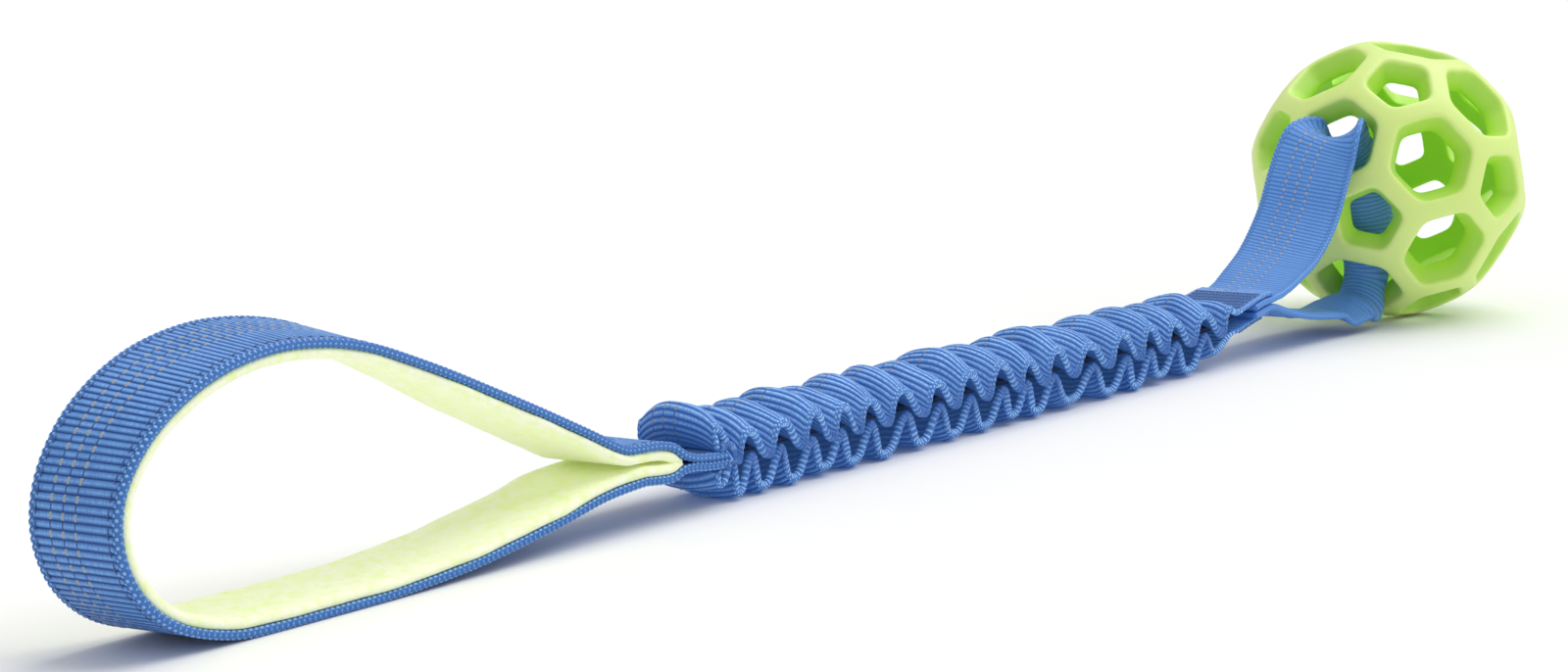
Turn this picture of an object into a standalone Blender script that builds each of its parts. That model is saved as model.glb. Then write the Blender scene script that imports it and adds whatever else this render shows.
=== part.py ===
"""A bungee tug toy: a lined webbing handle, a gathered bungee and a lattice ball.

The toy lies on the floor, z = 0, with its length along X: the handle loop stands on
its lower arm at -X, and the ball lies at +X. The webbing's width runs along Y.
All lengths are in metres and all angles in degrees.
"""
import math

import bmesh
import bpy
from mathutils import Euler, Matrix, Vector

# Clearances and overruns
CLEARANCE = 0.0003
MERGE_DISTANCE = 0.00005
SAME_LENGTH_SHARE = 1.01
FLAT_SQUEEZE_SHARE = 0.01

# Webbing and its lining
WEBBING_WIDTH = 0.020
WEBBING_THICKNESS = 0.0015
WEBBING_EDGE_ROUND = 0.0004
FLEECE_THICKNESS = 0.0018
STRIP_STEP = 0.0034

# Handle loop: reach from the cover's mouth to the far bend, height of the loop's surface
HANDLE_LENGTH = 0.163
HANDLE_HEIGHT = 0.0463
HANDLE_TILT_DEG = 8.0
NECK_LENGTH = 0.027
NECK_HEIGHT = 0.0123
FLEECE_SETBACK = 0.0135
TAIL_LENGTH = 0.004
HANDLE_TACK_START = 0.0045
HANDLE_TACK_LENGTH = 0.0085

# The loop's side view, from the upper arm round to the lower one, as shares of the
# handle's length and height
LOOP_SHARES = (
    (0.200, 0.298),
    (0.265, 0.400),
    (0.402, 0.611),
    (0.531, 0.812),
    (0.640, 0.950),
    (0.745, 1.000),
    (0.834, 0.970),
    (0.905, 0.881),
    (0.960, 0.745),
    (0.993, 0.575),
    (0.998, 0.400),
    (0.975, 0.225),
    (0.925, 0.090),
    (0.850, 0.015),
    (0.770, 0.000),
    (0.640, 0.000),
    (0.540, 0.014),
    (0.444, 0.042),
    (0.320, 0.104),
    (0.235, 0.158),
)

# Bungee: elastic band inside two gathered layers of webbing
COVER_LENGTH = 0.206
COVER_THICKNESS = 0.0010
COVER_HALF_WIDTH = 0.0101
AXIS_HEIGHT = 0.0095
FOLD_WIDTH_SHARES = (0.36, 0.78, 0.80, 0.84, 0.92, 1.10, 1.08, 0.94, 1.04, 1.20, 0.90, 0.92,
                     1.28, 1.26, 1.12, 1.02, 1.04, 1.10)
STATIONS_PER_FOLD = 6
CREST_HEIGHT = 0.0083
VALLEY_HEIGHT = 0.0021
EDGE_CREST_HEIGHT = 0.0044
EDGE_VALLEY_HEIGHT = 0.0007
FOLD_BULGE_SHARE = 0.70
CREST_VARIATION_SHARE = 0.09
CREST_VARIATION_RATE = 2.3
FOLD_SKEW = 0.0012
FOLD_SKEW_RATE = 1.3
DOME_POWER = 0.55
HOOD_BULGE = 0.0020
HOOD_LEAN = 0.0038
HOOD_RISE = 0.0012
HOOD_EDGE_RISE = 0.0036
FLOOR_FLAT_DEPTH = 0.0005
SEAM_TAIL_LENGTH = 0.015
SEAM_RISE = 0.0034
SEAM_RISE_LENGTH = 0.024
ACROSS_SHARES = (-1.0, -0.6, 0.0, 0.6, 1.0)

# Elastic band
ELASTIC_WIDTH = 0.012
ELASTIC_THICKNESS = 0.0020
ELASTIC_SETBACK = 0.0045

# Sewn tacks
TACK_WIDTH = 0.016
TACK_THICKNESS = 0.0005
STRAP_TACK_LENGTH = 0.008
STRAP_TACK_SETBACK = 0.0055

# Ball
BALL_REACH = 0.0937
BALL_RADIUS = 0.035
BALL_WALL_SHARE = 0.18
BALL_BAR_SHARE = 0.154
BALL_SHOULDER_SHARE = 0.026
BALL_DRAFT_SHARE = 0.040
BALL_TURN_DEG = (-174.6, -31.4, 78.3)
CORNER_SHARE = 0.26
CORNER_DRAW_SHARE = 0.45

# Strap: its route from the seam up through one hole, down inside the ball, out through
# the next and back to the seam. Each row: place along X, as a share of the way from the
# seam to the ball's near side and past 1 in ball radii, height as a share of the ball's
# diameter, share of the squeeze, turn about the vertical, tilt of the width line, and share
# of the ball's radius to the side
STRAP_ROUTE_SHARES = (
    (0.000, 0.196, 0.00, 2.0, 0.0, 0.000),
    (0.126, 0.213, 0.00, 4.0, 1.0, 0.000),
    (0.274, 0.249, 0.00, 8.0, 3.0, 0.000),
    (0.454, 0.302, 0.00, 12.0, 5.0, 0.000),
    (0.607, 0.375, 0.00, 15.0, 7.0, 0.000),
    (0.722, 0.452, 0.05, 17.0, 8.0, 0.000),
    (0.805, 0.543, 0.02, 17.3, 8.7, -0.003),
    (0.897, 0.629, 0.01, 15.0, 8.9, -0.008),
    (0.987, 0.677, 0.37, 11.6, 6.3, -0.026),
    (1.114, 0.663, 1.39, 7.8, 4.8, -0.037),
    (1.191, 0.614, 1.49, 6.1, 2.5, -0.038),
    (1.286, 0.554, 1.04, 3.5, 1.6, -0.042),
    (1.296, 0.447, 0.89, 3.5, -0.1, -0.062),
    (1.356, 0.361, 0.92, 3.5, 0.3, -0.065),
    (1.366, 0.259, 1.25, 3.8, -0.7, -0.075),
    (1.390, 0.209, 1.46, 3.8, -0.6, -0.080),
    (1.376, 0.165, 1.70, 7.5, 0.9, -0.076),
    (1.286, 0.116, 1.30, 3.5, -0.3, -0.075),
    (1.172, 0.115, 0.62, 2.8, -0.5, -0.065),
    (0.961, 0.079, 0.42, 3.3, 0.6, -0.029),
    (0.823, 0.080, 0.00, 3.0, 0.0, -0.010),
    (0.607, 0.092, 0.00, 2.0, 0.0, 0.000),
    (0.390, 0.111, 0.00, 2.0, 0.0, 0.000),
    (0.161, 0.144, 0.00, 1.0, 0.0, 0.000),
    (0.000, 0.152, 0.00, 1.0, 0.0, 0.000),
)
STRAP_TAIL_LENGTH = 0.009
STRAP_WIDTH_SHARE = 0.5714
STRAP_CUP_SHARE = 0.22
STRAP_SPANS = 6
STRAP_STEP = 0.0019

# Places along X that follow from the sizes above
OVERALL_LENGTH = (HANDLE_LENGTH + WEBBING_THICKNESS + COVER_LENGTH + BALL_REACH
                  + BALL_RADIUS)
MOUTH_X = HANDLE_LENGTH + WEBBING_THICKNESS - OVERALL_LENGTH / 2
COVER_END_X = MOUTH_X + COVER_LENGTH
FOLD_COUNT = len(FOLD_WIDTH_SHARES)
SEAM_END_X = COVER_END_X + SEAM_TAIL_LENGTH
BALL_X = COVER_END_X + BALL_REACH
BALL_SIDE_X = BALL_X - BALL_RADIUS
LOOP_BASE = WEBBING_THICKNESS + CLEARANCE / 2

# The ball's section, and the strap's width and curl that let it through the holes
BALL_WALL = BALL_RADIUS * BALL_WALL_SHARE
BALL_BAR_WIDTH = BALL_RADIUS * BALL_BAR_SHARE
BALL_SHOULDER = BALL_RADIUS * BALL_SHOULDER_SHARE
BALL_DRAFT = BALL_RADIUS * BALL_DRAFT_SHARE
STRAP_WIDTH = BALL_RADIUS * STRAP_WIDTH_SHARE
STRAP_CUP_RADIUS = BALL_RADIUS * STRAP_CUP_SHARE

# Seats measured out from the toy's middle line
TAIL_SPREAD = (ELASTIC_THICKNESS + CLEARANCE) / 2
MOUTH_SEAT = TAIL_SPREAD + WEBBING_THICKNESS + CLEARANCE * 3 / 2 + COVER_THICKNESS / 2
STRAP_SPREAD = (WEBBING_THICKNESS + CLEARANCE) / 2
SEAM_SEAT = STRAP_SPREAD + WEBBING_THICKNESS / 2 + CLEARANCE + COVER_THICKNESS / 2

COLOURS = {
    "webbing": (0.035, 0.135, 0.50),
    "webbing_dark": (0.020, 0.075, 0.30),
    "fleece": (0.72, 0.92, 0.35),
    "elastic": (0.030, 0.032, 0.036),
    "rubber": (0.45, 0.82, 0.12),
}


def clear_scene():
    for scene_object in list(bpy.data.objects):
        bpy.data.objects.remove(scene_object, do_unlink=True)


def smoothstep(value):
    clamped = min(max(value, 0.0), 1.0)
    return clamped * clamped * (3 - 2 * clamped)


def axis_height(x):
    """Height of the toy's middle line between the handle's neck and the strap."""
    neck = smoothstep((MOUTH_X - x) / NECK_LENGTH)
    seam = smoothstep((x - (SEAM_END_X - SEAM_RISE_LENGTH)) / SEAM_RISE_LENGTH)
    return AXIS_HEIGHT + (NECK_HEIGHT - AXIS_HEIGHT) * neck + SEAM_RISE * seam


def make_material(name, colour, roughness):
    material = bpy.data.materials.new(name)
    material.use_nodes = True
    shader = material.node_tree.nodes["Principled BSDF"]
    shader.inputs["Base Color"].default_value = (*colour, 1.0)
    shader.inputs["Roughness"].default_value = roughness
    shader.inputs["Metallic"].default_value = 0.0
    return material


def add_object(name, builder, material, pivot):
    """Link a mesh as a named object whose origin is its pivot empty's place."""
    mesh = bpy.data.meshes.new(name)
    builder.transform(Matrix.Translation(-pivot.matrix_world.translation))
    bmesh.ops.recalc_face_normals(builder, faces=builder.faces[:])
    builder.to_mesh(mesh)
    builder.free()
    mesh.materials.append(material)
    scene_object = bpy.data.objects.new(name, mesh)
    bpy.context.collection.objects.link(scene_object)
    scene_object.parent = pivot
    return scene_object


def add_pivot(name, place, parent=None):
    pivot = bpy.data.objects.new(name, None)
    bpy.context.collection.objects.link(pivot)
    if parent is None:
        pivot.location = place
    else:
        pivot.parent = parent
        pivot.location = place - parent.matrix_world.translation
    bpy.context.view_layer.update()
    return pivot


def spline_through(points, step):
    """Even points along a smooth curve through the given points."""
    ends = [points[0] * 2 - points[1]] + list(points) + [points[-1] * 2 - points[-2]]
    fine = []
    for index in range(1, len(ends) - 2):
        before, start, stop, after = ends[index - 1:index + 3]
        count = max(2, math.ceil((stop - start).length / step) * 4)
        for part in range(count):
            t = part / count
            fine.append(0.5 * ((2 * start) + (stop - before) * t
                               + (2 * before - 5 * start + 4 * stop - after) * t ** 2
                               + (3 * start - before - 3 * stop + after) * t ** 3))
    fine.append(points[-1])
    return resample(fine, step)


def resample(fine, step):
    lengths = [0.0]
    for start, stop in zip(fine, fine[1:]):
        lengths.append(lengths[-1] + (stop - start).length)
    count = round(lengths[-1] / step)
    even = []
    index = 0
    for part in range(count + 1):
        wanted = lengths[-1] * part / count
        while index < len(lengths) - 2 and lengths[index + 1] < wanted:
            index += 1
        span = lengths[index + 1] - lengths[index]
        even.append(fine[index].lerp(fine[index + 1], (wanted - lengths[index]) / span))
    return even


def strip_section(width, thickness, edge_round, offset, spans=1):
    """Closed outline of a flat strip: across the width, and out from its route."""
    half, low, high = width / 2, offset, offset + thickness
    inner = half - edge_round
    across = [inner * (2 * part / spans - 1) for part in range(spans + 1)]
    under = [(place, low) for place in across]
    over = [(place, high) for place in reversed(across)]
    if edge_round == 0.0:
        return under + over
    return (under + [(half, low + edge_round), (half, high - edge_round)]
            + over + [(-half, high - edge_round), (-half, low + edge_round)])


def sweep(rings):
    """A closed body through rings of points that all have the same count."""
    builder = bmesh.new()
    loops = [[builder.verts.new(point) for point in ring] for ring in rings]
    for loop_a, loop_b in zip(loops, loops[1:]):
        for index in range(len(loop_a)):
            after = (index + 1) % len(loop_a)
            builder.faces.new((loop_a[index], loop_a[after], loop_b[after], loop_b[index]))
    builder.faces.new(loops[0])
    builder.faces.new(list(reversed(loops[-1])))
    return builder


def route_directions(points):
    directions = []
    for index in range(len(points)):
        before = points[max(index - 1, 0)]
        after = points[min(index + 1, len(points) - 1)]
        directions.append((after - before).normalized())
    return directions


def flat_ring(point, direction, section, tilt=0.0):
    """A ring of a strip whose width runs along Y, tilted out, with its outer side left."""
    level = Vector((0, 1, 0))
    upright = Vector((direction.z, 0, -direction.x))
    width_line = level * math.cos(tilt) + upright * math.sin(tilt)
    outward = upright * math.cos(tilt) - level * math.sin(tilt)
    return [point + width_line * across + outward * out for across, out in section]


def flat_rings(points, section, tilts=None):
    return [flat_ring(point, direction, section, tilt)
            for point, direction, tilt in zip(points, route_directions(points),
                                              tilts or [0.0] * len(points))]


# Handle

def loop_route():
    """The surface between webbing and lining, from the upper tail to the lower one."""
    steps = round((TAIL_LENGTH + NECK_LENGTH) / STRIP_STEP)
    places = [MOUTH_X + TAIL_LENGTH - (TAIL_LENGTH + NECK_LENGTH) * part / steps
              for part in range(steps + 1)]
    upper = [Vector((x, 0, axis_height(x) + TAIL_SPREAD)) for x in places]
    lower = [Vector((x, 0, axis_height(x) - TAIL_SPREAD)) for x in places]
    loop = [Vector((MOUTH_X - reach * HANDLE_LENGTH, 0, LOOP_BASE + rise * HANDLE_HEIGHT))
            for reach, rise in LOOP_SHARES]
    points = spline_through(upper + loop + lower[::-1], STRIP_STEP)
    for point in points:
        point.z = max(point.z, LOOP_BASE)
    return points


def loop_tilt(point):
    """The band's tilt across its width, which grows towards the top of the loop."""
    rise = (point.z - NECK_HEIGHT * 2) / (LOOP_BASE + HANDLE_HEIGHT - NECK_HEIGHT * 2)
    return math.radians(HANDLE_TILT_DEG) * smoothstep(rise)


def handle_webbing(material, pivot):
    section = strip_section(WEBBING_WIDTH, WEBBING_THICKNESS, WEBBING_EDGE_ROUND,
                            CLEARANCE / 2)
    points = loop_route()
    builder = sweep(flat_rings(points, section, [loop_tilt(point) for point in points]))
    return add_object("handle_webbing", builder, material, pivot)


def lining_thickness(point):
    """The lining's full thickness, pressed thin where the arms meet in the neck."""
    if point.x < MOUTH_X - HANDLE_LENGTH / 2:
        return FLEECE_THICKNESS
    return min(FLEECE_THICKNESS, abs(point.z - axis_height(point.x)) - CLEARANCE)


def handle_fleece(material, pivot):
    points = loop_route()
    rings = []
    for point, direction in zip(points, route_directions(points)):
        if point.x <= MOUTH_X - FLEECE_SETBACK:
            thickness = lining_thickness(point)
            section = strip_section(WEBBING_WIDTH, thickness, 0.0,
                                    -CLEARANCE / 2 - thickness)
            rings.append(flat_ring(point, direction, section, loop_tilt(point)))
    return add_object("handle_fleece", sweep(rings), material, pivot)


def rings_between(points, section, start_x, stop_x):
    """The rings of a strip on a route, kept between two places along X."""
    return [ring for point, ring in zip(points, flat_rings(points, section))
            if start_x <= point.x <= stop_x]


def handle_tack(name, lower_arm, material, pivot):
    offset = WEBBING_THICKNESS + CLEARANCE * 3 / 2
    section = strip_section(TACK_WIDTH, TACK_THICKNESS, 0.0, offset)
    stop_x = MOUTH_X - HANDLE_TACK_START
    points = loop_route()
    arm = points[len(points) // 2:] if lower_arm else points[:len(points) // 2]
    rings = rings_between(arm, section, stop_x - HANDLE_TACK_LENGTH, stop_x)
    return add_object(name, sweep(rings), material, pivot)


# Bungee

def cover_height(turns, across, crest_height, side):
    """Height of a gathered layer over the middle line, by fold and place across."""
    crest = 0.5 - 0.5 * math.cos(turns * math.tau)
    crest *= 1 + CREST_VARIATION_SHARE * math.sin(turns * CREST_VARIATION_RATE)
    hood = 1 - smoothstep(turns / 2)
    middle = VALLEY_HEIGHT + (crest_height + side * HOOD_RISE * hood - VALLEY_HEIGHT) * crest
    edge_crest = EDGE_CREST_HEIGHT + HOOD_EDGE_RISE * hood
    edge = EDGE_VALLEY_HEIGHT + (edge_crest - EDGE_VALLEY_HEIGHT) * crest
    dome = (1 - across * across) ** DOME_POWER if abs(across) < 1 else 0.0
    return edge + (middle - edge) * dome


def cover_place(turns, across):
    """Distance from the mouth to a point of a layer, with the folds' overhang."""
    fold = min(int(turns), FOLD_COUNT - 1)
    scale = COVER_LENGTH / sum(FOLD_WIDTH_SHARES)
    start = sum(FOLD_WIDTH_SHARES[:fold]) * scale
    width = FOLD_WIDTH_SHARES[fold] * scale
    part = turns - fold
    bulge = HOOD_BULGE if fold == 0 else width / math.tau * FOLD_BULGE_SHARE
    lean = HOOD_LEAN * math.sin(part * math.pi) if fold == 0 else 0.0
    settled = smoothstep(turns - 1) * smoothstep(FOLD_COUNT - turns)
    skew = FOLD_SKEW * across * math.sin(turns * FOLD_SKEW_RATE) * settled
    return start + width * part - bulge * math.sin(part * math.tau) - lean + skew


def cover_rows(crest_height, side):
    """Mid-surface rows of one gathered layer; side is 1 above and -1 below."""
    rows = []
    for station in range(FOLD_COUNT * STATIONS_PER_FOLD + 1):
        turns = station / STATIONS_PER_FOLD
        to_seam = smoothstep(turns - FOLD_COUNT + 1)
        row = []
        for across in ACROSS_SHARES:
            place = cover_place(turns, across)
            height = cover_height(turns, across, crest_height, side)
            if station == 0:
                height = MOUTH_SEAT
            elif place < TAIL_LENGTH + COVER_THICKNESS:
                height = max(height, MOUTH_SEAT)
            height += (SEAM_SEAT - height) * to_seam
            row.append(cover_point(MOUTH_X + place, across, side * height))
        rows.append(row)
    steps = math.ceil(SEAM_TAIL_LENGTH / STRIP_STEP)
    for part in range(1, steps + 1):
        x = COVER_END_X + SEAM_TAIL_LENGTH * part / steps
        rows.append([cover_point(x, across, side * SEAM_SEAT) for across in ACROSS_SHARES])
    return rows


def cover_point(x, across, height):
    """A mid-surface point, kept high enough to leave a flat where it meets the floor."""
    lowest = COVER_THICKNESS / 2 - FLOOR_FLAT_DEPTH
    return Vector((x, across * COVER_HALF_WIDTH, max(axis_height(x) + height, lowest)))


def surface_normals(rows):
    normals = []
    for i, row in enumerate(rows):
        before, after = rows[max(i - 1, 0)], rows[min(i + 1, len(rows) - 1)]
        line = []
        for j in range(len(row)):
            along = after[j] - before[j]
            across = row[min(j + 1, len(row) - 1)] - row[max(j - 1, 0)]
            line.append(along.cross(across).normalized())
        normals.append(line)
    return normals


def thicken(rows, thickness):
    """Rings round a curved sheet: along its upper side and back along its lower one."""
    rings = []
    for row, line in zip(rows, surface_normals(rows)):
        upper = [point + normal * thickness / 2 for point, normal in zip(row, line)]
        lower = [point - normal * thickness / 2 for point, normal in zip(row, line)]
        rings.append(upper + lower[::-1])
    return rings


def cover_layer(name, side, crest_height, material, pivot):
    rings = thicken(cover_rows(crest_height, side), COVER_THICKNESS)
    for ring in rings:
        for point in ring:
            point.z = max(point.z, 0.0)
    layer = add_object(name, sweep(rings), material, pivot)
    layer.data.shade_smooth()
    return layer


def elastic_band(material, pivot):
    start = MOUTH_X - ELASTIC_SETBACK
    stop = SEAM_END_X - STRAP_TAIL_LENGTH - CLEARANCE
    count = math.ceil((stop - start) / (STRIP_STEP * 2))
    points = []
    for part in range(count + 1):
        x = start + (stop - start) * part / count
        points.append(Vector((x, 0, axis_height(x))))
    section = strip_section(ELASTIC_WIDTH, ELASTIC_THICKNESS, 0.0,
                            -ELASTIC_THICKNESS / 2)
    return add_object("elastic_band", sweep(flat_rings(points, section)), material, pivot)


def strap_tack(name, side, material, pivot):
    stop = SEAM_END_X - STRAP_TACK_SETBACK
    points = []
    for part in (0.0, 0.5, 1.0):
        x = stop - STRAP_TACK_LENGTH * part
        points.append(Vector((x, 0, axis_height(x))))
    if side < 0:
        points.reverse()
    offset = SEAM_SEAT + COVER_THICKNESS / 2 + CLEARANCE
    section = strip_section(TACK_WIDTH, TACK_THICKNESS, 0.0, offset)
    return add_object(name, sweep(flat_rings(points, section)), material, pivot)


# Strap

def strap_route():
    """Route points with their squeeze and turn, from the upper tail to the lower one."""
    rows = []
    for share, rise, squeeze, turn, tilt, drift in STRAP_ROUTE_SHARES:
        x = (SEAM_END_X + (BALL_SIDE_X - SEAM_END_X) * min(share, 1.0)
             + BALL_RADIUS * max(share - 1.0, 0.0))
        point = Vector((x, drift * BALL_RADIUS, rise * BALL_RADIUS * 2))
        rows.append((point, squeeze, math.radians(turn), math.radians(tilt)))
    return rows


def strap_rings():
    rows = strap_route()
    route = [row[0] for row in rows]
    tail_places = (SEAM_END_X - STRAP_TAIL_LENGTH, SEAM_END_X - STRAP_TAIL_LENGTH / 2)
    upper = [Vector((x, 0, axis_height(x) + STRAP_SPREAD)) for x in tail_places]
    lower = [Vector((x, 0, axis_height(x) - STRAP_SPREAD)) for x in tail_places]
    for index, side in ((0, 1), (-1, -1)):
        route[index] = Vector((SEAM_END_X, 0, axis_height(SEAM_END_X)
                               + side * STRAP_SPREAD))
    points = spline_through(upper + route + lower[::-1], STRAP_STEP)
    rings = []
    for point, direction in zip(points, route_directions(points)):
        squeeze, turn, tilt = blend_rows(point, route, rows)
        width_line = Vector((-math.sin(turn), math.cos(turn), math.sin(tilt)))
        width_line = (width_line - direction * width_line.dot(direction)).normalized()
        outward = direction.cross(width_line)
        rings.append(cupped_ring(point, width_line, outward, squeeze))
    return rings


def blend_rows(point, route, rows):
    """Squeeze, turn and tilt at a point, weighted by the two nearest route points."""
    ranked = sorted(range(len(route)), key=lambda index: (route[index] - point).length)
    near, far = ranked[0], ranked[1]
    gap_near = (route[near] - point).length
    gap_far = (route[far] - point).length
    share = gap_near / (gap_near + gap_far)
    return [rows[near][part] * (1 - share) + rows[far][part] * share for part in (1, 2, 3)]


def cupped_ring(point, width_line, outward, squeeze):
    """A webbing section, curled up at its edges by the squeeze."""
    ring = []
    for across, out in strip_section(STRAP_WIDTH, WEBBING_THICKNESS, WEBBING_EDGE_ROUND,
                                     -WEBBING_THICKNESS / 2, STRAP_SPANS):
        if squeeze > FLAT_SQUEEZE_SHARE:
            radius = STRAP_CUP_RADIUS / squeeze
            angle = across / radius
            side = (radius - out) * math.sin(angle)
            lift = radius - (radius - out) * math.cos(angle)
        else:
            side, lift = across, out
        ring.append(point + width_line * side + outward * lift)
    return ring


def ball_strap(material, pivot):
    return add_object("ball_strap", sweep(strap_rings()), material, pivot)


# Ball

def icosahedron():
    golden = (1 + math.sqrt(5)) / 2
    corners = []
    for axis in range(3):
        for sign_a in (-1, 1):
            for sign_b in (-1, 1):
                corner = [0, 0, 0]
                corner[(axis + 1) % 3] = sign_a
                corner[(axis + 2) % 3] = sign_b * golden
                corners.append(Vector(corner).normalized())
    return corners


def lattice_faces(corners):
    """The twelve pentagons and twenty hexagons as rings of unit directions."""
    edge = min((corners[0] - corner).length for corner in corners[1:])
    near = {a: [b for b in range(12)
                if b != a and (corners[a] - corners[b]).length < edge * SAME_LENGTH_SHARE]
            for a in range(12)}
    faces = []
    for a in range(12):
        ring = [corners[a].lerp(corners[b], 1 / 3) for b in near[a]]
        faces.append(sort_ring(ring))
    for a in range(12):
        for b in near[a]:
            for c in near[a]:
                if a < b < c and c in near[b]:
                    ring = [corners[i].lerp(corners[j], 1 / 3)
                            for i, j in ((a, b), (b, a), (b, c), (c, b), (c, a), (a, c))]
                    faces.append(sort_ring(ring))
    return faces


def sort_ring(ring):
    centre = sum(ring, Vector()) / len(ring)
    normal = centre.normalized()
    first = (ring[0] - centre).normalized()
    side = normal.cross(first)
    return sorted(ring, key=lambda p: math.atan2((p - centre).dot(side),
                                                 (p - centre).dot(first)))


def rim_points(ring):
    """The corners of a face and two points along each of its edges, shared both ways."""
    points = []
    for before, corner, after in zip(ring[-1:] + ring, ring, ring[1:] + ring[:1]):
        points += [corner.lerp(before, CORNER_SHARE), corner, corner.lerp(after, CORNER_SHARE)]
    return [point.normalized() for point in points]


def hole_points(ring, inset):
    """A rounded outline inside a face; the inset is measured at the ball's surface."""
    corners = [point.normalized() * BALL_RADIUS for point in ring]
    centre = sum(corners, Vector()) / len(corners)
    apothem = ((corners[0] + corners[1]) / 2 - centre).length
    drawn = [centre.lerp(corner, 1 - inset / apothem) for corner in corners]
    points = []
    for before, corner, after in zip(drawn[-1:] + drawn, drawn, drawn[1:] + drawn[:1]):
        start = corner.lerp(before, CORNER_SHARE)
        stop = corner.lerp(after, CORNER_SHARE)
        middle = corner.lerp((start + stop) / 2, CORNER_DRAW_SHARE)
        points += [start, middle, stop]
    return [point.normalized() for point in points]


def lattice_mesh():
    """Rounded bars round every face, from the outer surface down the hole to the inner."""
    builder = bmesh.new()
    half = BALL_BAR_WIDTH / 2
    inner = BALL_RADIUS - BALL_WALL
    for ring in lattice_faces(icosahedron()):
        rim = rim_points(ring)
        levels = [(rim, BALL_RADIUS),
                  (hole_points(ring, half - BALL_SHOULDER), BALL_RADIUS),
                  (hole_points(ring, half), BALL_RADIUS - BALL_SHOULDER),
                  (hole_points(ring, half + BALL_DRAFT), inner),
                  (rim, inner)]
        loops = [[builder.verts.new(point * reach) for point in points]
                 for points, reach in levels]
        for loop_a, loop_b in zip(loops, loops[1:]):
            for index in range(len(rim)):
                after = (index + 1) % len(rim)
                builder.faces.new((loop_a[index], loop_a[after], loop_b[after],
                                   loop_b[index]))
    bmesh.ops.remove_doubles(builder, verts=builder.verts[:], dist=MERGE_DISTANCE)
    turn = Euler([math.radians(angle) for angle in BALL_TURN_DEG]).to_matrix()
    for vertex in builder.verts:
        vertex.co = turn @ vertex.co
    return builder


def lattice_ball(material, pivot):
    builder = lattice_mesh()
    lowest = min(vertex.co.z for vertex in builder.verts)
    builder.transform(Matrix.Translation((BALL_X, 0, -lowest)))
    ball = add_object("lattice_ball", builder, material, pivot)
    ball.data.shade_smooth()
    return ball


def build():
    clear_scene()
    webbing = make_material("blue webbing", COLOURS["webbing"], 0.6)
    tack = make_material("sewing thread", COLOURS["webbing_dark"], 0.65)
    fleece = make_material("fleece", COLOURS["fleece"], 0.95)
    elastic = make_material("elastic", COLOURS["elastic"], 0.8)
    rubber = make_material("rubber", COLOURS["rubber"], 0.45)

    bungee_pivot = add_pivot("bungee_pivot", Vector((MOUTH_X, 0, AXIS_HEIGHT)))
    handle_pivot = add_pivot("handle_pivot", Vector((MOUTH_X, 0, AXIS_HEIGHT)),
                             bungee_pivot)
    seam_place = Vector((SEAM_END_X, 0, axis_height(SEAM_END_X)))
    stretch_slide = add_pivot("stretch_slide", seam_place, bungee_pivot)
    strap_pivot = add_pivot("strap_pivot", seam_place, stretch_slide)
    bend_place = Vector((BALL_SIDE_X + BALL_WALL / 2, 0, BALL_RADIUS))
    ball_pivot = add_pivot("ball_pivot", bend_place, strap_pivot)

    handle_webbing(webbing, handle_pivot)
    handle_fleece(fleece, handle_pivot)
    handle_tack("handle_tack_top", False, tack, handle_pivot)
    handle_tack("handle_tack_bottom", True, tack, handle_pivot)
    cover_layer("cover_top", 1, CREST_HEIGHT, webbing, bungee_pivot)
    cover_layer("cover_bottom", -1, AXIS_HEIGHT + FLOOR_FLAT_DEPTH - COVER_THICKNESS / 2,
                webbing, bungee_pivot)
    elastic_band(elastic, bungee_pivot)
    strap_tack("strap_tack_top", 1, tack, stretch_slide)
    strap_tack("strap_tack_bottom", -1, tack, stretch_slide)
    ball_strap(webbing, strap_pivot)
    lattice_ball(rubber, ball_pivot)


build()
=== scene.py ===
"""The looks of a bungee tug toy: ribbed webbing, fleece, stitching and a rubber lattice ball.

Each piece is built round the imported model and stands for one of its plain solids.
Lengths are in metres, with the toy along X and the webbing's width along Y.
"""

import math

import bpy
import numpy as np
from mathutils import Euler, Matrix, Vector


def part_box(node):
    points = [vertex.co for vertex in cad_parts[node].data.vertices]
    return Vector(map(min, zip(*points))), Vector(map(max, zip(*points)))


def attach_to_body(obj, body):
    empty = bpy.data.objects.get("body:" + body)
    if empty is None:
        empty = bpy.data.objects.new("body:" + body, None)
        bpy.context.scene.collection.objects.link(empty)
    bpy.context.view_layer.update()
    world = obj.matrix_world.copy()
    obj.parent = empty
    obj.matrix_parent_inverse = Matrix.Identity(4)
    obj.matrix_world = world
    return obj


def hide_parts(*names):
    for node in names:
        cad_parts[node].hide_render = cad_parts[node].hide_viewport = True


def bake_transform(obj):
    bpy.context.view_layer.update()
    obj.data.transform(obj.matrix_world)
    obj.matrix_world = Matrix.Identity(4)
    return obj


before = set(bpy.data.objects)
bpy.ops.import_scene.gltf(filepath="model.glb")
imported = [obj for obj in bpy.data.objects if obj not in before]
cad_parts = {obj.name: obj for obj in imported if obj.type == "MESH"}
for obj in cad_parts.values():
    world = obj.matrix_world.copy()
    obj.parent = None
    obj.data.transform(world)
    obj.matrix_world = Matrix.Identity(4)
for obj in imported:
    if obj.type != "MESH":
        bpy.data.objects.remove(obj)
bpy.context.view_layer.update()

# Sizes that the solids have too, within 0.01 mm
CLEARANCE = 0.0003
WEBBING_WIDTH = 0.020
WEBBING_THICKNESS = 0.0015
HANDLE_LENGTH = 0.163
HANDLE_HEIGHT = 0.0463
HANDLE_TILT_DEG = 8.0
NECK_LENGTH = 0.027
NECK_HEIGHT = 0.0123
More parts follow.
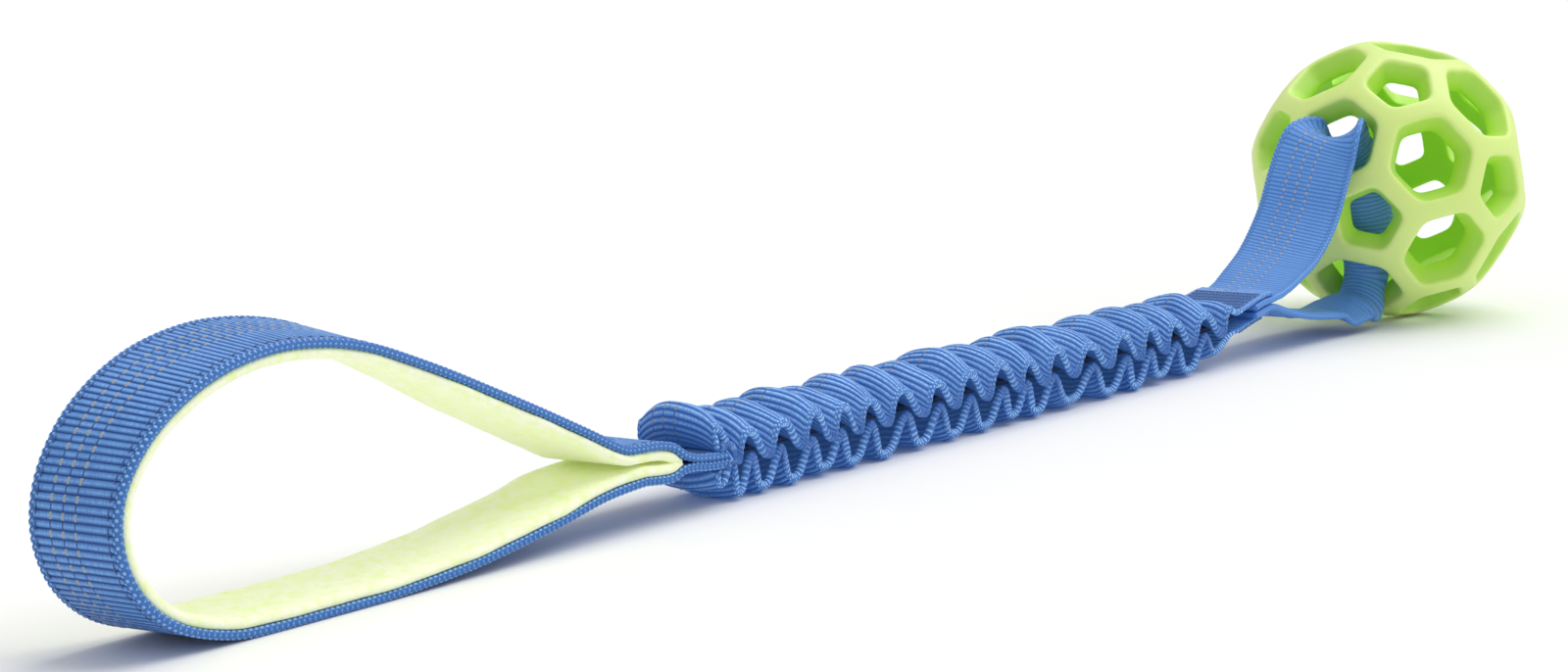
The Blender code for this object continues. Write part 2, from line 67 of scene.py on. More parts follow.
NECK_STEP = 0.0034
FLEECE_SETBACK = 0.0135
COVER_LENGTH = 0.206
COVER_THICKNESS = 0.0010
COVER_HALF_WIDTH = 0.0101
AXIS_HEIGHT = 0.0095
FOLD_WIDTH_SHARES = (0.36, 0.78, 0.80, 0.84, 0.92, 1.10, 1.08, 0.94, 1.04, 1.20, 0.90, 0.92,
                     1.28, 1.26, 1.12, 1.02, 1.04, 1.10)
CREST_HEIGHT = 0.0083
VALLEY_HEIGHT = 0.0021
CREST_VARIATION_SHARE = 0.09
CREST_VARIATION_RATE = 2.3
FOLD_SKEW = 0.0012
FOLD_SKEW_RATE = 1.3
HOOD_BULGE = 0.0020
HOOD_LEAN = 0.0038
HOOD_RISE = 0.0012
FLOOR_FLAT_DEPTH = 0.0005
SEAM_TAIL_LENGTH = 0.015
SEAM_RISE = 0.0034
SEAM_RISE_LENGTH = 0.024
ELASTIC_WIDTH = 0.012
ELASTIC_THICKNESS = 0.0020
BALL_REACH = 0.0937
BALL_RADIUS = 0.035
BALL_WALL = 0.0063
BALL_BAR_WIDTH = 0.0054
BALL_DRAFT = 0.0014
BALL_TURN_DEG = (-174.6, -31.4, 78.3)
STRAP_TAIL_LENGTH = 0.009
STRAP_CUP_RADIUS = 0.0077

# Sizes of the looks alone, such as thicker fleece, a shorter turn in the mouth, and folds
# whose edges wave more, droop and differ from each other
FLEECE_THICKNESS = 0.0021
FLEECE_SPREAD_START = 0.0108
FLEECE_SPREAD_LENGTH = 0.008
TAIL_LENGTH = 0.0005
EDGE_CREST_HEIGHT = 0.0040
EDGE_VALLEY_HEIGHT = -0.0024
EDGE_SHIFT_SHARE = 0.25
EDGE_DROOP = 0.0024
EDGE_STRAIGHTNESS = 0.85
EDGE_UNEVENNESS = 0.30
FOLD_BULGE_SHARE = 0.60
FOLD_ROUNDNESS = 0.80
FOLD_WANDER = 0.0026
FOLD_UNEVENNESS = 0.20
CREST_NARROWING = 0.10
LOWER_NARROWING = 0.15
DOME_POWER = 0.50
VALLEY_DOME_POWER = 0.36
HOOD_EDGE_RISE = 0.0004
LOWER_HOOD_SHARE = 0.62
LOWER_HOOD_LEAN = 0.0012
ELASTIC_SHARE = 0.75
STRAP_ROOT_LENGTH = 0.016
BALL_EDGE_ROUND = 0.0010
RIM_SHARES = (0.14, 0.30)
CORNER_RADIUS_SHARE = 0.24

# The loop's side view, as shares of the handle's length and height
LOOP_SHARES = (
    (0.200, 0.298), (0.265, 0.400), (0.402, 0.611), (0.531, 0.812), (0.640, 0.950),
    (0.745, 1.000), (0.834, 0.970), (0.905, 0.881), (0.960, 0.745), (0.993, 0.575),
    (0.998, 0.400), (0.975, 0.225), (0.925, 0.090), (0.850, 0.015), (0.770, 0.000),
    (0.640, 0.000), (0.540, 0.014), (0.444, 0.042), (0.320, 0.104), (0.235, 0.158),
)

# The strap's route: place along X, from the seam to the ball's near side as 0 to 1 and past
# 1 in ball radii, height as a share of the ball's diameter, share of the squeeze, turn and
# tilt in degrees, and share of the ball's radius to the side
STRAP_ROUTE_SHARES = (
    (0.000, 0.196, 0.00, 2.0, 0.0, 0.000),
    (0.126, 0.213, 0.00, 4.0, 1.0, 0.000),
    (0.274, 0.249, 0.00, 8.0, 3.0, 0.000),
    (0.454, 0.302, 0.00, 12.0, 5.0, 0.000),
    (0.607, 0.375, 0.00, 15.0, 7.0, 0.000),
    (0.722, 0.452, 0.05, 17.0, 8.0, 0.000),
    (0.805, 0.543, 0.02, 17.3, 8.7, -0.003),
    (0.897, 0.629, 0.01, 15.0, 8.9, -0.008),
    (0.987, 0.677, 0.37, 11.6, 6.3, -0.026),
    (1.114, 0.663, 1.39, 7.8, 4.8, -0.037),
    (1.191, 0.614, 1.49, 6.1, 2.5, -0.038),
    (1.286, 0.554, 1.04, 3.5, 1.6, -0.042),
    (1.296, 0.447, 0.89, 3.5, -0.1, -0.062),
    (1.356, 0.361, 0.92, 3.5, 0.3, -0.065),
    (1.366, 0.259, 1.25, 3.8, -0.7, -0.075),
    (1.390, 0.209, 1.46, 3.8, -0.6, -0.080),
    (1.376, 0.165, 1.70, 7.5, 0.9, -0.076),
    (1.286, 0.116, 1.30, 3.5, -0.3, -0.075),
    (1.172, 0.115, 0.62, 2.8, -0.5, -0.065),
    (0.961, 0.079, 0.42, 3.3, 0.6, -0.029),
    (0.823, 0.080, 0.00, 3.0, 0.0, -0.010),
    (0.607, 0.092, 0.00, 2.0, 0.0, 0.000),
    (0.390, 0.111, 0.00, 2.0, 0.0, 0.000),
    (0.161, 0.144, 0.00, 1.0, 0.0, 0.000),
    (0.000, 0.152, 0.00, 1.0, 0.0, 0.000),
)

# A hole's section from the outside in: how far it is drawn in, as shares of the draft and
# the soft edge, how deep it lies, as shares of the wall and the soft edge, and how far its
# colour has gone from the painted sheen outside towards the painted shade deep in the hole
HOLE_SECTION_SHARES = (
    (0.0, -1.50, 0.00, 0.00, 0.00),
    (0.0, -0.55, 0.00, 0.12, 0.03),
    (0.0, -0.12, 0.00, 0.55, 0.12),
    (0.0, 0.00, 0.00, 1.30, 0.30),
    (0.5, 0.00, 0.55, 0.00, 0.55),
    (1.0, 0.00, 1.00, -0.60, 0.85),
    (1.0, -0.20, 1.00, -0.12, 0.95),
    (1.0, -0.90, 1.00, 0.00, 1.00),
)

# Weave: one weft rib to each pitch, with fine warp yarns over the ribs
RIB_PITCH = 0.00135
RIB_HEIGHT = 0.00028
COVER_RIB_PITCH = 0.00125
COVER_RIB_HEIGHT = 0.00034
STRAP_RIB_PITCH = 0.00105
STRAP_RIB_HEIGHT = 0.00010
STATIONS_PER_RIB = 8
RIB_WANDER = 0.10
RIB_UNEVENNESS = 0.22
YARN_PITCH = 0.00030
SELVEDGE_WIDTH = 0.0008
SELVEDGE_BEAD = 0.00032
COVER_BEAD = 0.00022
STRAP_BEAD = COVER_BEAD * 0.6
COVER_CORD = 0.00030
BEAD_RIB_SHARE = 0.65
EDGE_STEPS = 5
COVER_COLUMNS = 33
BRAID_PITCH = 0.0011
COVER_BRAID_PITCH = 0.0007
BRAID_FADE = (0.0002, 0.0005)
THREAD_SHARES = (0.25, 0.39, 0.53)
THREAD_BAND = (0.00029, 0.00005)
SLIT_BAND = (0.00015, 0.00004)

# Sewing, fleece and elastic; a tack's values are its half width and its stitches' pitch
SEAM_LINE_SHARES = (0.085, 0.895)
SEAM_PITCH = RIB_PITCH * 2
SEAM_STITCH_SHARE = 0.86
SEAM_THREAD = 0.00034
TACK_THREAD = 0.00042
TACK_STITCH_SHARE = 1.15
TACK_ROW_PITCH = 0.0009
HANDLE_TACK = (0.0085, 0.00085)
STRAP_TACK = (0.0082, 0.0009)
STRAP_TACK_ROWS = 13
STRAP_TACK_LEAD = 0.002
STRAP_TACK_TRAIL = 0.001
LINING_STEP = 0.0005
PILE_GRAIN = 0.001
PILE_HEIGHT = 0.00008
PILE_FINE_HEIGHT = 0.00006
PILE_SINK = 0.00005
EDGE_WEAR = 0.0004
ELASTIC_CORD_PITCH = 0.0011
ELASTIC_CORD_HEIGHT = 0.00012
ELASTIC_PICK_PITCH = 0.0012

# Textures: depths in metres, noise rates per metre, and strengths of light and shade
YARN_DEPTH = 0.00009
TWIST_DEPTH = 0.00005
CLUMP_DEPTH = 0.0006
FIBRE_DEPTH = 0.00025
GRAIN_DEPTH = 0.00008
ELASTIC_DEPTH = 0.0002
RUBBER_GLOW_DEPTH = 0.0025
CLUMP_RATE = 420.0
FIBRE_RATE = 2600.0
PATCH_RATE = 60.0
CLOUD_RATE = 130.0
GRAIN_RATE = 3200.0
FLEECE_PAINTED_GLOW = 0.07
COVER_PAINTED_GLOW = 0.10
COVER_PAINTED_CREASE_SHADE = 0.9

# Colours in linear light: the base, then the deep one, then the others that a material uses
COLOURS = {
    # In the blue webbings, the deep colour is also painted shade, the third one painted highlight
    # and the selvedges' light dots
    "blue_webbing": ((0.078, 0.265, 0.710), (0.012, 0.068, 0.280), (0.36, 0.62, 1.00),
                     (0.36, 0.39, 0.40)),
    "blue_cover": ((0.088, 0.290, 0.800), (0.018, 0.080, 0.320), (0.48, 0.76, 1.00),
                   (0.34, 0.35, 0.36)),
    "blue_strap": ((0.112, 0.315, 0.770), (0.060, 0.205, 0.590), (0.24, 0.48, 0.95),
                   (0.36, 0.38, 0.46)),
    "blue_thread": ((0.040, 0.115, 0.360), (0.012, 0.040, 0.170)),
    "patch_thread": ((0.150, 0.310, 0.670), (0.085, 0.190, 0.460)),
    # The fleece's last colour is that of its painted glow
    "fleece": ((0.99, 1.00, 0.85), (0.86, 0.97, 0.48), (0.55, 0.85, 0.45), (0.93, 1.0, 0.72),
               (0.80, 0.95, 0.30)),
    "elastic": ((0.012, 0.032, 0.110), (0.004, 0.012, 0.045)),
    # The rubber's deep colour is its painted shade down the holes, its third one the painted
    # sheen outside
    "rubber": ((0.52, 0.82, 0.12), (0.44, 0.84, 0.030), (0.74, 0.92, 0.29)),
}
FLOOR_COLOUR = (0.93, 0.93, 0.93, 1.0)
STUDIO_COLOUR = (1.0, 1.0, 1.0, 1.0)

# Seeds of the random waves; each layer of the bungee adds or takes one
SEEDS = {"band": 11, "pile": 21, "fine_pile": 22, "wear": 23, "cover_top": 31,
         "cover_bottom": 32, "strap": 41, "crests": 51, "wander": 61, "edges": 71}
WAVES_PER_OCTAVE = 3
WAVE_TOTAL = WAVES_PER_OCTAVE * (1 + 1 / 2 + 1 / 4)
TINY = 1e-12

# Camera, light and floor
CAMERA_AZIMUTH = 0.95388
CAMERA_ELEVATION = 0.13924
CAMERA_ROLL = -0.024565
CAMERA_DISTANCE = 0.8032
CAMERA_TARGET_FROM_MOUTH = (0.0338, 0.0, 0.0285)
CAMERA_CLIP = (0.01, 20.0)
FOCAL_PIXELS = 4100
IMAGE_WIDTH_PIXELS = 1600
SENSOR_WIDTH_MM = 36.0
WORLD_STRENGTH = 0.60
OVERHEAD_STRENGTH = 1.75
OVERHEAD_SPREAD_DEG = 60.0
OVERHEAD_DIRECTION = (0.45, -0.25, 1.0)
FLOOR_REACH = 8.0
FLOOR_GAP = 0.0001

# Places that follow from the sizes above
OVERALL_LENGTH = HANDLE_LENGTH + WEBBING_THICKNESS + COVER_LENGTH + BALL_REACH + BALL_RADIUS
MOUTH_X = HANDLE_LENGTH + WEBBING_THICKNESS - OVERALL_LENGTH / 2
COVER_END_X = MOUTH_X + COVER_LENGTH
FOLD_COUNT = len(FOLD_WIDTH_SHARES)
SEAM_END_X = COVER_END_X + SEAM_TAIL_LENGTH
BALL_X = COVER_END_X + BALL_REACH
BALL_SIDE_X = BALL_X - BALL_RADIUS
LOOP_BASE = WEBBING_THICKNESS + CLEARANCE / 2
FLEECE_SEAT = CLEARANCE / 3
TAIL_SPREAD = -CLEARANCE / 6
TURN_RADIUS = TAIL_SPREAD + CLEARANCE / 2
TAIL_END = TAIL_LENGTH + TURN_RADIUS + WEBBING_THICKNESS
MOUTH_SEAT = TURN_RADIUS + WEBBING_THICKNESS + CLEARANCE + COVER_THICKNESS / 2
STRAP_SPREAD = (WEBBING_THICKNESS + CLEARANCE) / 2
SEAM_SEAT = STRAP_SPREAD + WEBBING_THICKNESS / 2 + CLEARANCE + COVER_THICKNESS / 2
THREAD_PLACES = [WEBBING_WIDTH * (0.5 - share) for share in THREAD_SHARES]
LEVEL = np.array((0.0, 1.0, 0.0))


# Curves and grids

def stacked(*arrays):
    """Arrays brought to one shape, side by side along a new last axis."""
    return np.stack(np.broadcast_arrays(*arrays), axis=-1)


def smoothstep(value):
    clamped = np.clip(value, 0.0, 1.0)
    return clamped * clamped * (3 - 2 * clamped)


def unit(vectors):
    return vectors / np.maximum(np.linalg.norm(vectors, axis=-1, keepdims=True), TINY)


def axis_height(x):
    """Height of the toy's middle line between the handle's neck and the strap."""
    neck = smoothstep((MOUTH_X - x) / NECK_LENGTH)
    seam = smoothstep((x - (SEAM_END_X - SEAM_RISE_LENGTH)) / SEAM_RISE_LENGTH)
    return AXIS_HEIGHT + (NECK_HEIGHT - AXIS_HEIGHT) * neck + SEAM_RISE * seam


def lengths_along(points):
    steps = np.linalg.norm(np.diff(points[:, :3], axis=0), axis=1)
    return np.concatenate(([0.0], np.cumsum(steps)))


def evenly(points, step):
    """The line in even steps, as near the given one as its length lets them be."""
    return resample(points, round(lengths_along(points)[-1] / step))


def ribbed(points, pitch):
    """The line in even steps that hold an even number of ribs, and the ribs' count on it."""
    ribs = 2 * round(lengths_along(points)[-1] / pitch / 2)
    rows = resample(points, ribs * STATIONS_PER_RIB + 1)
    return rows, np.arange(len(rows)) / STATIONS_PER_RIB


def resample(points, count):
    """Evenly spaced rows along a line whose first three columns are its place."""
    lengths = lengths_along(points)
    wanted = np.linspace(0.0, lengths[-1], count)
    return stacked(*(np.interp(wanted, lengths, column) for column in points.T))


def spline_through(points, parts=24):
    """Fine rows along a smooth curve through the given rows."""
    ends = np.vstack((2 * points[0] - points[1], points, 2 * points[-1] - points[-2]))
    t = np.linspace(0.0, 1.0, parts, endpoint=False)[:, None]
    rows = []
    for before, start, stop, after in zip(ends, ends[1:], ends[2:], ends[3:]):
        rows.append(0.5 * (2 * start + (stop - before) * t
                           + (2 * before - 5 * start + 4 * stop - after) * t ** 2
                           + (3 * start - before - 3 * stop + after) * t ** 3))
    return np.vstack(rows + [points[-1:]])


def directions_along(points, closed=False):
    if closed:
        return unit(np.roll(points, -1, axis=0) - np.roll(points, 1, axis=0))
    return unit(np.gradient(points, axis=0))


def waves(seed, *fields, octaves=3):
    """A smooth random field within -1 to 1 over one or more coordinates, from summed waves."""
    source = np.random.default_rng(seed)
    total = 0.0
    for octave in range(octaves):
        for _ in range(WAVES_PER_OCTAVE):
            phase = source.uniform(0, math.tau)
            turn = sum(field * source.uniform(-1.0, 1.0) * 2 ** octave for field in fields)
            total = total + np.sin(turn * math.tau + phase) / 2 ** octave
    return total / WAVE_TOTAL


# Meshes

def add_object(name, data):
    thing = bpy.data.objects.new(name, data)
    bpy.context.scene.collection.objects.link(thing)
    return thing


def face_out(mesh):
    """Turns the faces over where they point in, by the sign of the volume."""
    mesh.calc_loop_triangles()
    corners = np.empty(len(mesh.loop_triangles) * 3, np.int32)
    mesh.loop_triangles.foreach_get("vertices", corners)
    places = np.empty(len(mesh.vertices) * 3)
    mesh.vertices.foreach_get("co", places)
    a, b, c = places.reshape(-1, 3)[corners].reshape(-1, 3, 3).transpose(1, 0, 2)
    if np.einsum("ij,ij->i", a, np.cross(b, c)).sum() < 0:
        mesh.flip_normals()


def mesh_object(name, vertices, faces, material, weave):
    """A smooth solid that faces out, with the marks that its material reads."""
    mesh = bpy.data.meshes.new(name)
    mesh.from_pydata(vertices.tolist(), [], faces)
    attribute = mesh.attributes.new("weave", "FLOAT_VECTOR", "POINT")
    attribute.data.foreach_set("vector", weave.astype(np.float32).ravel())
    mesh.shade_smooth()
    mesh.materials.append(material)
    face_out(mesh)
    return add_object(name, mesh)


def ring_faces(rings, points, closed):
    """Quads between rings of points, facing out where the rings run against the clock."""
    last = rings if closed else rings - 1
    a = np.arange(last)[:, None]
    b = np.arange(points)[None, :]
    after = (b + 1) % points
    below = (a + 1) % rings
    return stacked(a * points + b, below * points + b, below * points + after,
                   a * points + after).reshape(-1, 4)


def across_places(middle_columns=14, edge_columns=6):
    """Places across the webbing, closer together in the selvedges."""
    inner = WEBBING_WIDTH / 2 - WEBBING_THICKNESS / 2
    band = inner - SELVEDGE_WIDTH
    middle = np.linspace(-band, band, middle_columns)
    edge = np.linspace(band, inner, edge_columns + 1)[1:]
    return np.concatenate((-edge[::-1], middle, edge))


def strip(name, centre, normal, turns, across, thickness, material, outer=0.0, inner=0.0,
          bead=0.0, closed=False, cord=0.0):
    """A closed woven strip round a grid of middle points; turns counts its ribs."""
    half = np.broadcast_to(np.asarray(thickness, float), (len(centre),))[:, None, None] / 2
    cord = np.broadcast_to(cord, (len(centre),))[:, None]
    swell = cord * smoothstep((np.abs(across) - across[-1]) / SELVEDGE_WIDTH + 1)
    outer = np.broadcast_to(outer + swell, centre.shape[:2])[..., None]
    inner = np.broadcast_to(inner + swell, centre.shape[:2])[..., None]
    over = centre + normal * (half + outer)
    under = centre - normal * (half + inner)
    angles = np.linspace(math.pi / 2, -math.pi / 2, EDGE_STEPS + 2)[1:-1]
    size = half + (cord + bead_rows(turns, angles, bead))[..., None]
    rows = turns[:, None]
    arcs = []
    for side, edge in ((1, -1), (-1, 0)):
        out = unit(centre[:, edge] - centre[:, edge - side])
        out = unit(out - normal[:, edge] * (out * normal[:, edge]).sum(-1, keepdims=True))
        points = centre[:, edge, None] + size * (
            np.sin(angles)[None, :, None] * normal[:, edge, None]
            + np.cos(angles)[None, :, None] * out[:, None])
        reach = side * (abs(across[edge]) + half[..., 0] * np.cos(angles)[None, :])
        arcs.append((points, stacked(rows, reach, np.sin(angles)[None, :])))
    (right, right_marks), (left, left_marks) = arcs
    rings = np.concatenate((over, right, under[:, ::-1], left[:, ::-1]), axis=1)
    marks = np.concatenate((stacked(rows, across[None, :], 1.0), right_marks,
                            stacked(rows, across[None, ::-1], -1.0), left_marks[:, ::-1]), axis=1)
    rings[..., 2] = np.maximum(rings[..., 2], 0.0)
    count, points = rings.shape[:2]
    faces = ring_faces(count, points, closed).tolist()
    if not closed:
        faces.append(list(range(points)))
        faces.append(list(range((count - 1) * points, count * points))[::-1])
    return mesh_object(name, rings.reshape(-1, 3), faces, material, marks)


def bead_rows(turns, angles, height):
    """The braided selvedge: a swelling at each rib, with two rows of beads on it."""
    ribs = 0.5 - 0.5 * np.cos(turns[:, None] * math.tau)
    lean = np.abs(angles)[None, :] * 1.1
    beads = 0.5 + 0.5 * np.cos(turns[:, None] * 2 * math.tau + lean * math.pi)
    return height * (BEAD_RIB_SHARE * ribs + (1 - BEAD_RIB_SHARE) * beads)


def rib_relief(turns, across, height, seed):
    """Rounded weft ribs, which carry the selvedge's beads near both edges."""
    rows, columns = turns[:, None], across[None, :]
    wander = RIB_WANDER * waves(seed, rows / 9, columns / 0.012)
    edge = smoothstep((np.abs(columns) - (across[-1] - SELVEDGE_WIDTH))
                      / (SELVEDGE_WIDTH * 0.35))
    part = np.mod(rows + wander * (1 - edge), 1.0)
    rib = np.sqrt(np.clip(1 - (2 * part - 1) ** 2, 0.0, 1.0))
    rib = height * rib * (1 + RIB_UNEVENNESS * waves(seed + 1, rows / 3, columns / 0.02))
    lean = columns / SELVEDGE_WIDTH * 1.6
    bead = SELVEDGE_BEAD * (0.5 + 0.5 * np.cos(rows * 2 * math.tau + lean * math.tau))
    return rib * (1 - edge * 0.4) + bead * edge * 0.6


def stitches(name, places, runs, normals, length, thickness, material, arch):
    """Short arched threads, one closed body each, at the given places."""
    stations, sides = 7, 6
    t = np.linspace(-0.5, 0.5, stations)
    swell = np.sqrt(np.clip(1 - (2 * t) ** 4, 0.0, 1.0)) * 0.96 + 0.04
    angle = np.arange(sides) / sides * math.tau
    level = swell[:, None] * np.cos(angle) * thickness / 2
    height = (swell[:, None] * np.sin(angle) * thickness / 2
              + (1 - (2 * t[:, None]) ** 2) * thickness * arch)
    axes = np.stack((runs, np.cross(normals, runs), normals), axis=1)
    points = places[:, None, None] + stacked(t[:, None] * length, level, height) @ axes[:, None]
    bodies = np.arange(len(places))[:, None, None]
    each = stations * sides
    faces = (ring_faces(stations, sides, False) + bodies * each).reshape(-1, 4).tolist()
    for start in range(0, len(places) * each, each):
        faces.append(list(range(start, start + sides)))
        faces.append(list(range(start + each - sides, start + each))[::-1])
    weave = stacked(bodies + t[None, :, None], angle[None, None, :], 1.0)
    return mesh_object(name, points.reshape(-1, 3), faces, material, weave)


# Materials

def feed(tree, node, inputs):
    """Gives a node its inputs: values of the tree, plain ones, or None to leave one alone."""
    for key, value in inputs.items():
        if isinstance(value, Value):
            tree.links.new(value.socket, node.inputs[key])
        elif value is not None:
            node.inputs[key].default_value = value


class Value:
    """A socket of a node tree; arithmetic on it adds the nodes that work it out."""

    def __init__(self, tree, socket):
        self.tree = tree
        self.socket = socket

    def calc(self, operation, other=None):
        node = self.tree.nodes.new("ShaderNodeMath")
        node.operation = operation
        feed(self.tree, node, {0: self, 1: other})
        return Value(self.tree, node.outputs[0])

    def __add__(self, other):
        return self.calc("ADD", other)

    def __sub__(self, other):
        return self.calc("SUBTRACT", other)

    def __mul__(self, other):
        return self.calc("MULTIPLY", other)

    def __truediv__(self, other):
        return self.calc("DIVIDE", other)

    def __abs__(self):
        return self.calc("ABSOLUTE")

    def sine(self, rate):
        return (self * rate).calc("SINE")

    def ramp(self, start, stop, low=0.0, high=1.0):
        node = self.tree.nodes.new("ShaderNodeMapRange")
        node.interpolation_type = "SMOOTHSTEP"
        feed(self.tree, node, dict(enumerate((self, start, stop, low, high))))
        return Value(self.tree, node.outputs[0])

    def mix(self, first, second):
        """The first colour where the value is nought and the second where it is one."""
        node = self.tree.nodes.new("ShaderNodeMix")
        node.data_type = "RGBA"
        a, b = (place for place, socket in enumerate(node.inputs) if socket.type == "RGBA")
        feed(self.tree, node, {0: self, a: first, b: second})
        return Value(self.tree, next(out for out in node.outputs if out.type == "RGBA"))

    def noise(self, scale, detail, stretch=(1.0, 1.0, 1.0)):
        mapping = self.tree.nodes.new("ShaderNodeMapping")
        feed(self.tree, mapping, {"Vector": self, "Scale": stretch})
        node = self.tree.nodes.new("ShaderNodeTexNoise")
        feed(self.tree, node, {"Vector": Value(self.tree, mapping.outputs[0]),
                               "Scale": scale, "Detail": detail})
        return Value(self.tree, node.outputs["Fac"])

    def bump(self, strength, distance, normal=None):
        node = self.tree.nodes.new("ShaderNodeBump")
        feed(self.tree, node, {"Strength": strength, "Distance": distance, "Height": self,
                               "Normal": normal})
        return Value(self.tree, node.outputs[0])


def new_material(name):
    material = bpy.data.materials.new(name)
    material.use_nodes = True
    return material, material.node_tree


def finish(material, colour, normal, **settings):
    """Gives the material's shader its colour, its normal and its settings."""
    inputs = {key.replace("_", " "): value for key, value in settings.items()}
    inputs.update({"Base Color": colour, "Normal": normal})
    feed(material.node_tree, material.node_tree.nodes["Principled BSDF"], inputs)
    return material


def palette(name):
    return [(*colour, 1.0) for colour in COLOURS[name]]


def marks(tree, name, output):
    """The marks of that name that the mesh carries."""
    node = tree.nodes.new("ShaderNodeAttribute")
    node.attribute_name = name
    return Value(tree, node.outputs[output])


def weave_marks(tree):
    """The weave's marks as one vector, then as its three parts."""
    vector = marks(tree, "weave", "Vector")
    split = tree.nodes.new("ShaderNodeSeparateXYZ")
    feed(tree, split, {0: vector})
    return vector, *(Value(tree, part) for part in split.outputs)


def object_places(tree):
    return Value(tree, tree.nodes.new("ShaderNodeTexCoord").outputs["Object"])


def threads(across, half, soft):
    """One on each reflective thread, falling to nought past its edges."""
    total, *others = (abs(across - place).ramp(half - soft, half + soft, 1.0, 0.0)
                      for place in THREAD_PLACES)
    for other in others:
        total = total.calc("MAXIMUM", other)
    return total


def webbing_material(name, speckle=0.75, painted_shine=0.45, braid_rate=1.0, braid_pitch=BRAID_PITCH,
                     painted_glow=0.0, painted_crease_shade=0.0):
    """Ribbed webbing: warp yarns over the ribs, three reflective threads and selvedges,
    with painted shade in the rib grooves and painted highlights on the rib crests.
    """
    base, deep, highlight_and_dots, dash_colour = palette(name)
    material, tree = new_material(name)
    vector, turns, across, side = weave_marks(tree)
    part = turns.calc("FRACT")
    odd = abs(turns.calc("FLOOR")).calc("MODULO", 2.0)
    crest = abs(part - 0.5).ramp(0.5, 0.16)
    yarn = (across / YARN_PITCH + odd * 0.5).sine(math.tau).ramp(-0.9, 0.9)
    streaks = vector.noise(1.0, 2.0, (1.1, 2600.0, 1.0))
    patches = vector.noise(1.0, 2.0, (0.05, 160.0, 1.0))

    # Painted shade: the colour falls to the deep one in the rib grooves, the crests keep the base
    colour = crest.mix(deep, base)
    # Painted highlights: the yarns on the rib crests and a thin line along each crest lighten
    # towards the third colour
    painted_crest_highlight = yarn * crest * streaks.ramp(0.35, 0.70, 0.25, 1.0)
    colour = (painted_crest_highlight * 0.50).mix(colour, highlight_and_dots)
    painted_gleam = abs(part - 0.55).ramp(0.20, 0.02) * streaks.ramp(0.30, 0.62, 0.2, 1.0)
    colour = (painted_gleam * painted_shine).mix(colour, highlight_and_dots)
    colour = patches.ramp(0.35, 0.65, 0.0, 0.16).mix(colour, deep)

    outside = side.ramp(0.90, 0.97)
    shown = threads(across, *THREAD_BAND) * odd * abs(part - 0.5).ramp(0.47, 0.36) * outside
    hidden = threads(across, *SLIT_BAND) * outside * abs(odd - 1.0)
    colour = (hidden * 0.90).mix(colour, deep)
    colour = shown.mix(colour, dash_colour)

    inner_edge = WEBBING_WIDTH / 2 - WEBBING_THICKNESS / 2 - SELVEDGE_WIDTH
    edge = abs(across).ramp(*(inner_edge + fade for fade in BRAID_FADE))
    dots = turns.sine(math.tau * braid_rate) * across.sine(math.tau / braid_pitch)
    under = tuple(low * 0.45 + high * 0.55 for low, high in zip(deep, base))
    colour = edge.mix(colour, (dots.ramp(0.10, 0.55) * speckle).mix(under, highlight_and_dots))
    # Painted shade: the covers' colour darkens towards the deep one in the folds' creases
    if painted_crease_shade:
        colour = (marks(tree, "painted_crease_shade", "Fac") * painted_crease_shade).mix(colour, deep)
    height = yarn * 0.7 + streaks + shown * 0.8
    # Painted glow: where asked, a faint emission in the base colour lightens the shaded surfaces
    return finish(material, colour, height.bump(0.55, YARN_DEPTH), Roughness=0.46,
                  Sheen_Weight=0.03, Sheen_Roughness=0.45, Specular_IOR_Level=0.30,
                  Emission_Color=base, Emission_Strength=painted_glow)


def thread_material(name):
    base, deep = palette(name)
    material, tree = new_material(name)
    vector, turns, angle, _ = weave_marks(tree)
    twist = (turns * 5.0 + angle / math.tau).sine(math.tau)
    colour = twist.ramp(-0.6, 0.8).mix(deep, base)
    colour = vector.noise(3.0, 2.0).ramp(0.4, 0.7, 0.0, 0.4).mix(colour, deep)
    return finish(material, colour, twist.bump(0.5, TWIST_DEPTH), Roughness=0.5,
                  Sheen_Weight=0.15)


def fleece_material(name):
    """Brushed fleece: clumped pile, with a greener tint on its edges towards the webbing."""
    base, deep, tint, sheen, painted_glow = palette(name)
    material, tree = new_material(name)
    side = weave_marks(tree)[3]
    places = object_places(tree)
    clumps = places.noise(CLUMP_RATE, 4.0)
    fibres = places.noise(FIBRE_RATE, 4.0)
    colour = clumps.ramp(0.30, 0.62).mix(deep, base)
    colour = places.noise(PATCH_RATE, 2.0).ramp(0.40, 0.65, 0.0, 0.35).mix(colour, base)
    colour = fibres.ramp(0.35, 0.60, 0.35, 0.0).mix(colour, deep)
    colour = side.ramp(0.45, 1.0, 0.0, 0.6).mix(colour, tint)
    pile = clumps.bump(0.6, CLUMP_DEPTH, fibres.bump(0.55, FIBRE_DEPTH))
    # Painted glow: a faint emission lightens the fleece where it lies in shade
    return finish(material, colour, pile, Roughness=0.95, Sheen_Weight=0.35,
                  Sheen_Roughness=0.6, Sheen_Tint=sheen, Specular_IOR_Level=0.15,
                  Emission_Color=painted_glow, Emission_Strength=FLEECE_PAINTED_GLOW)


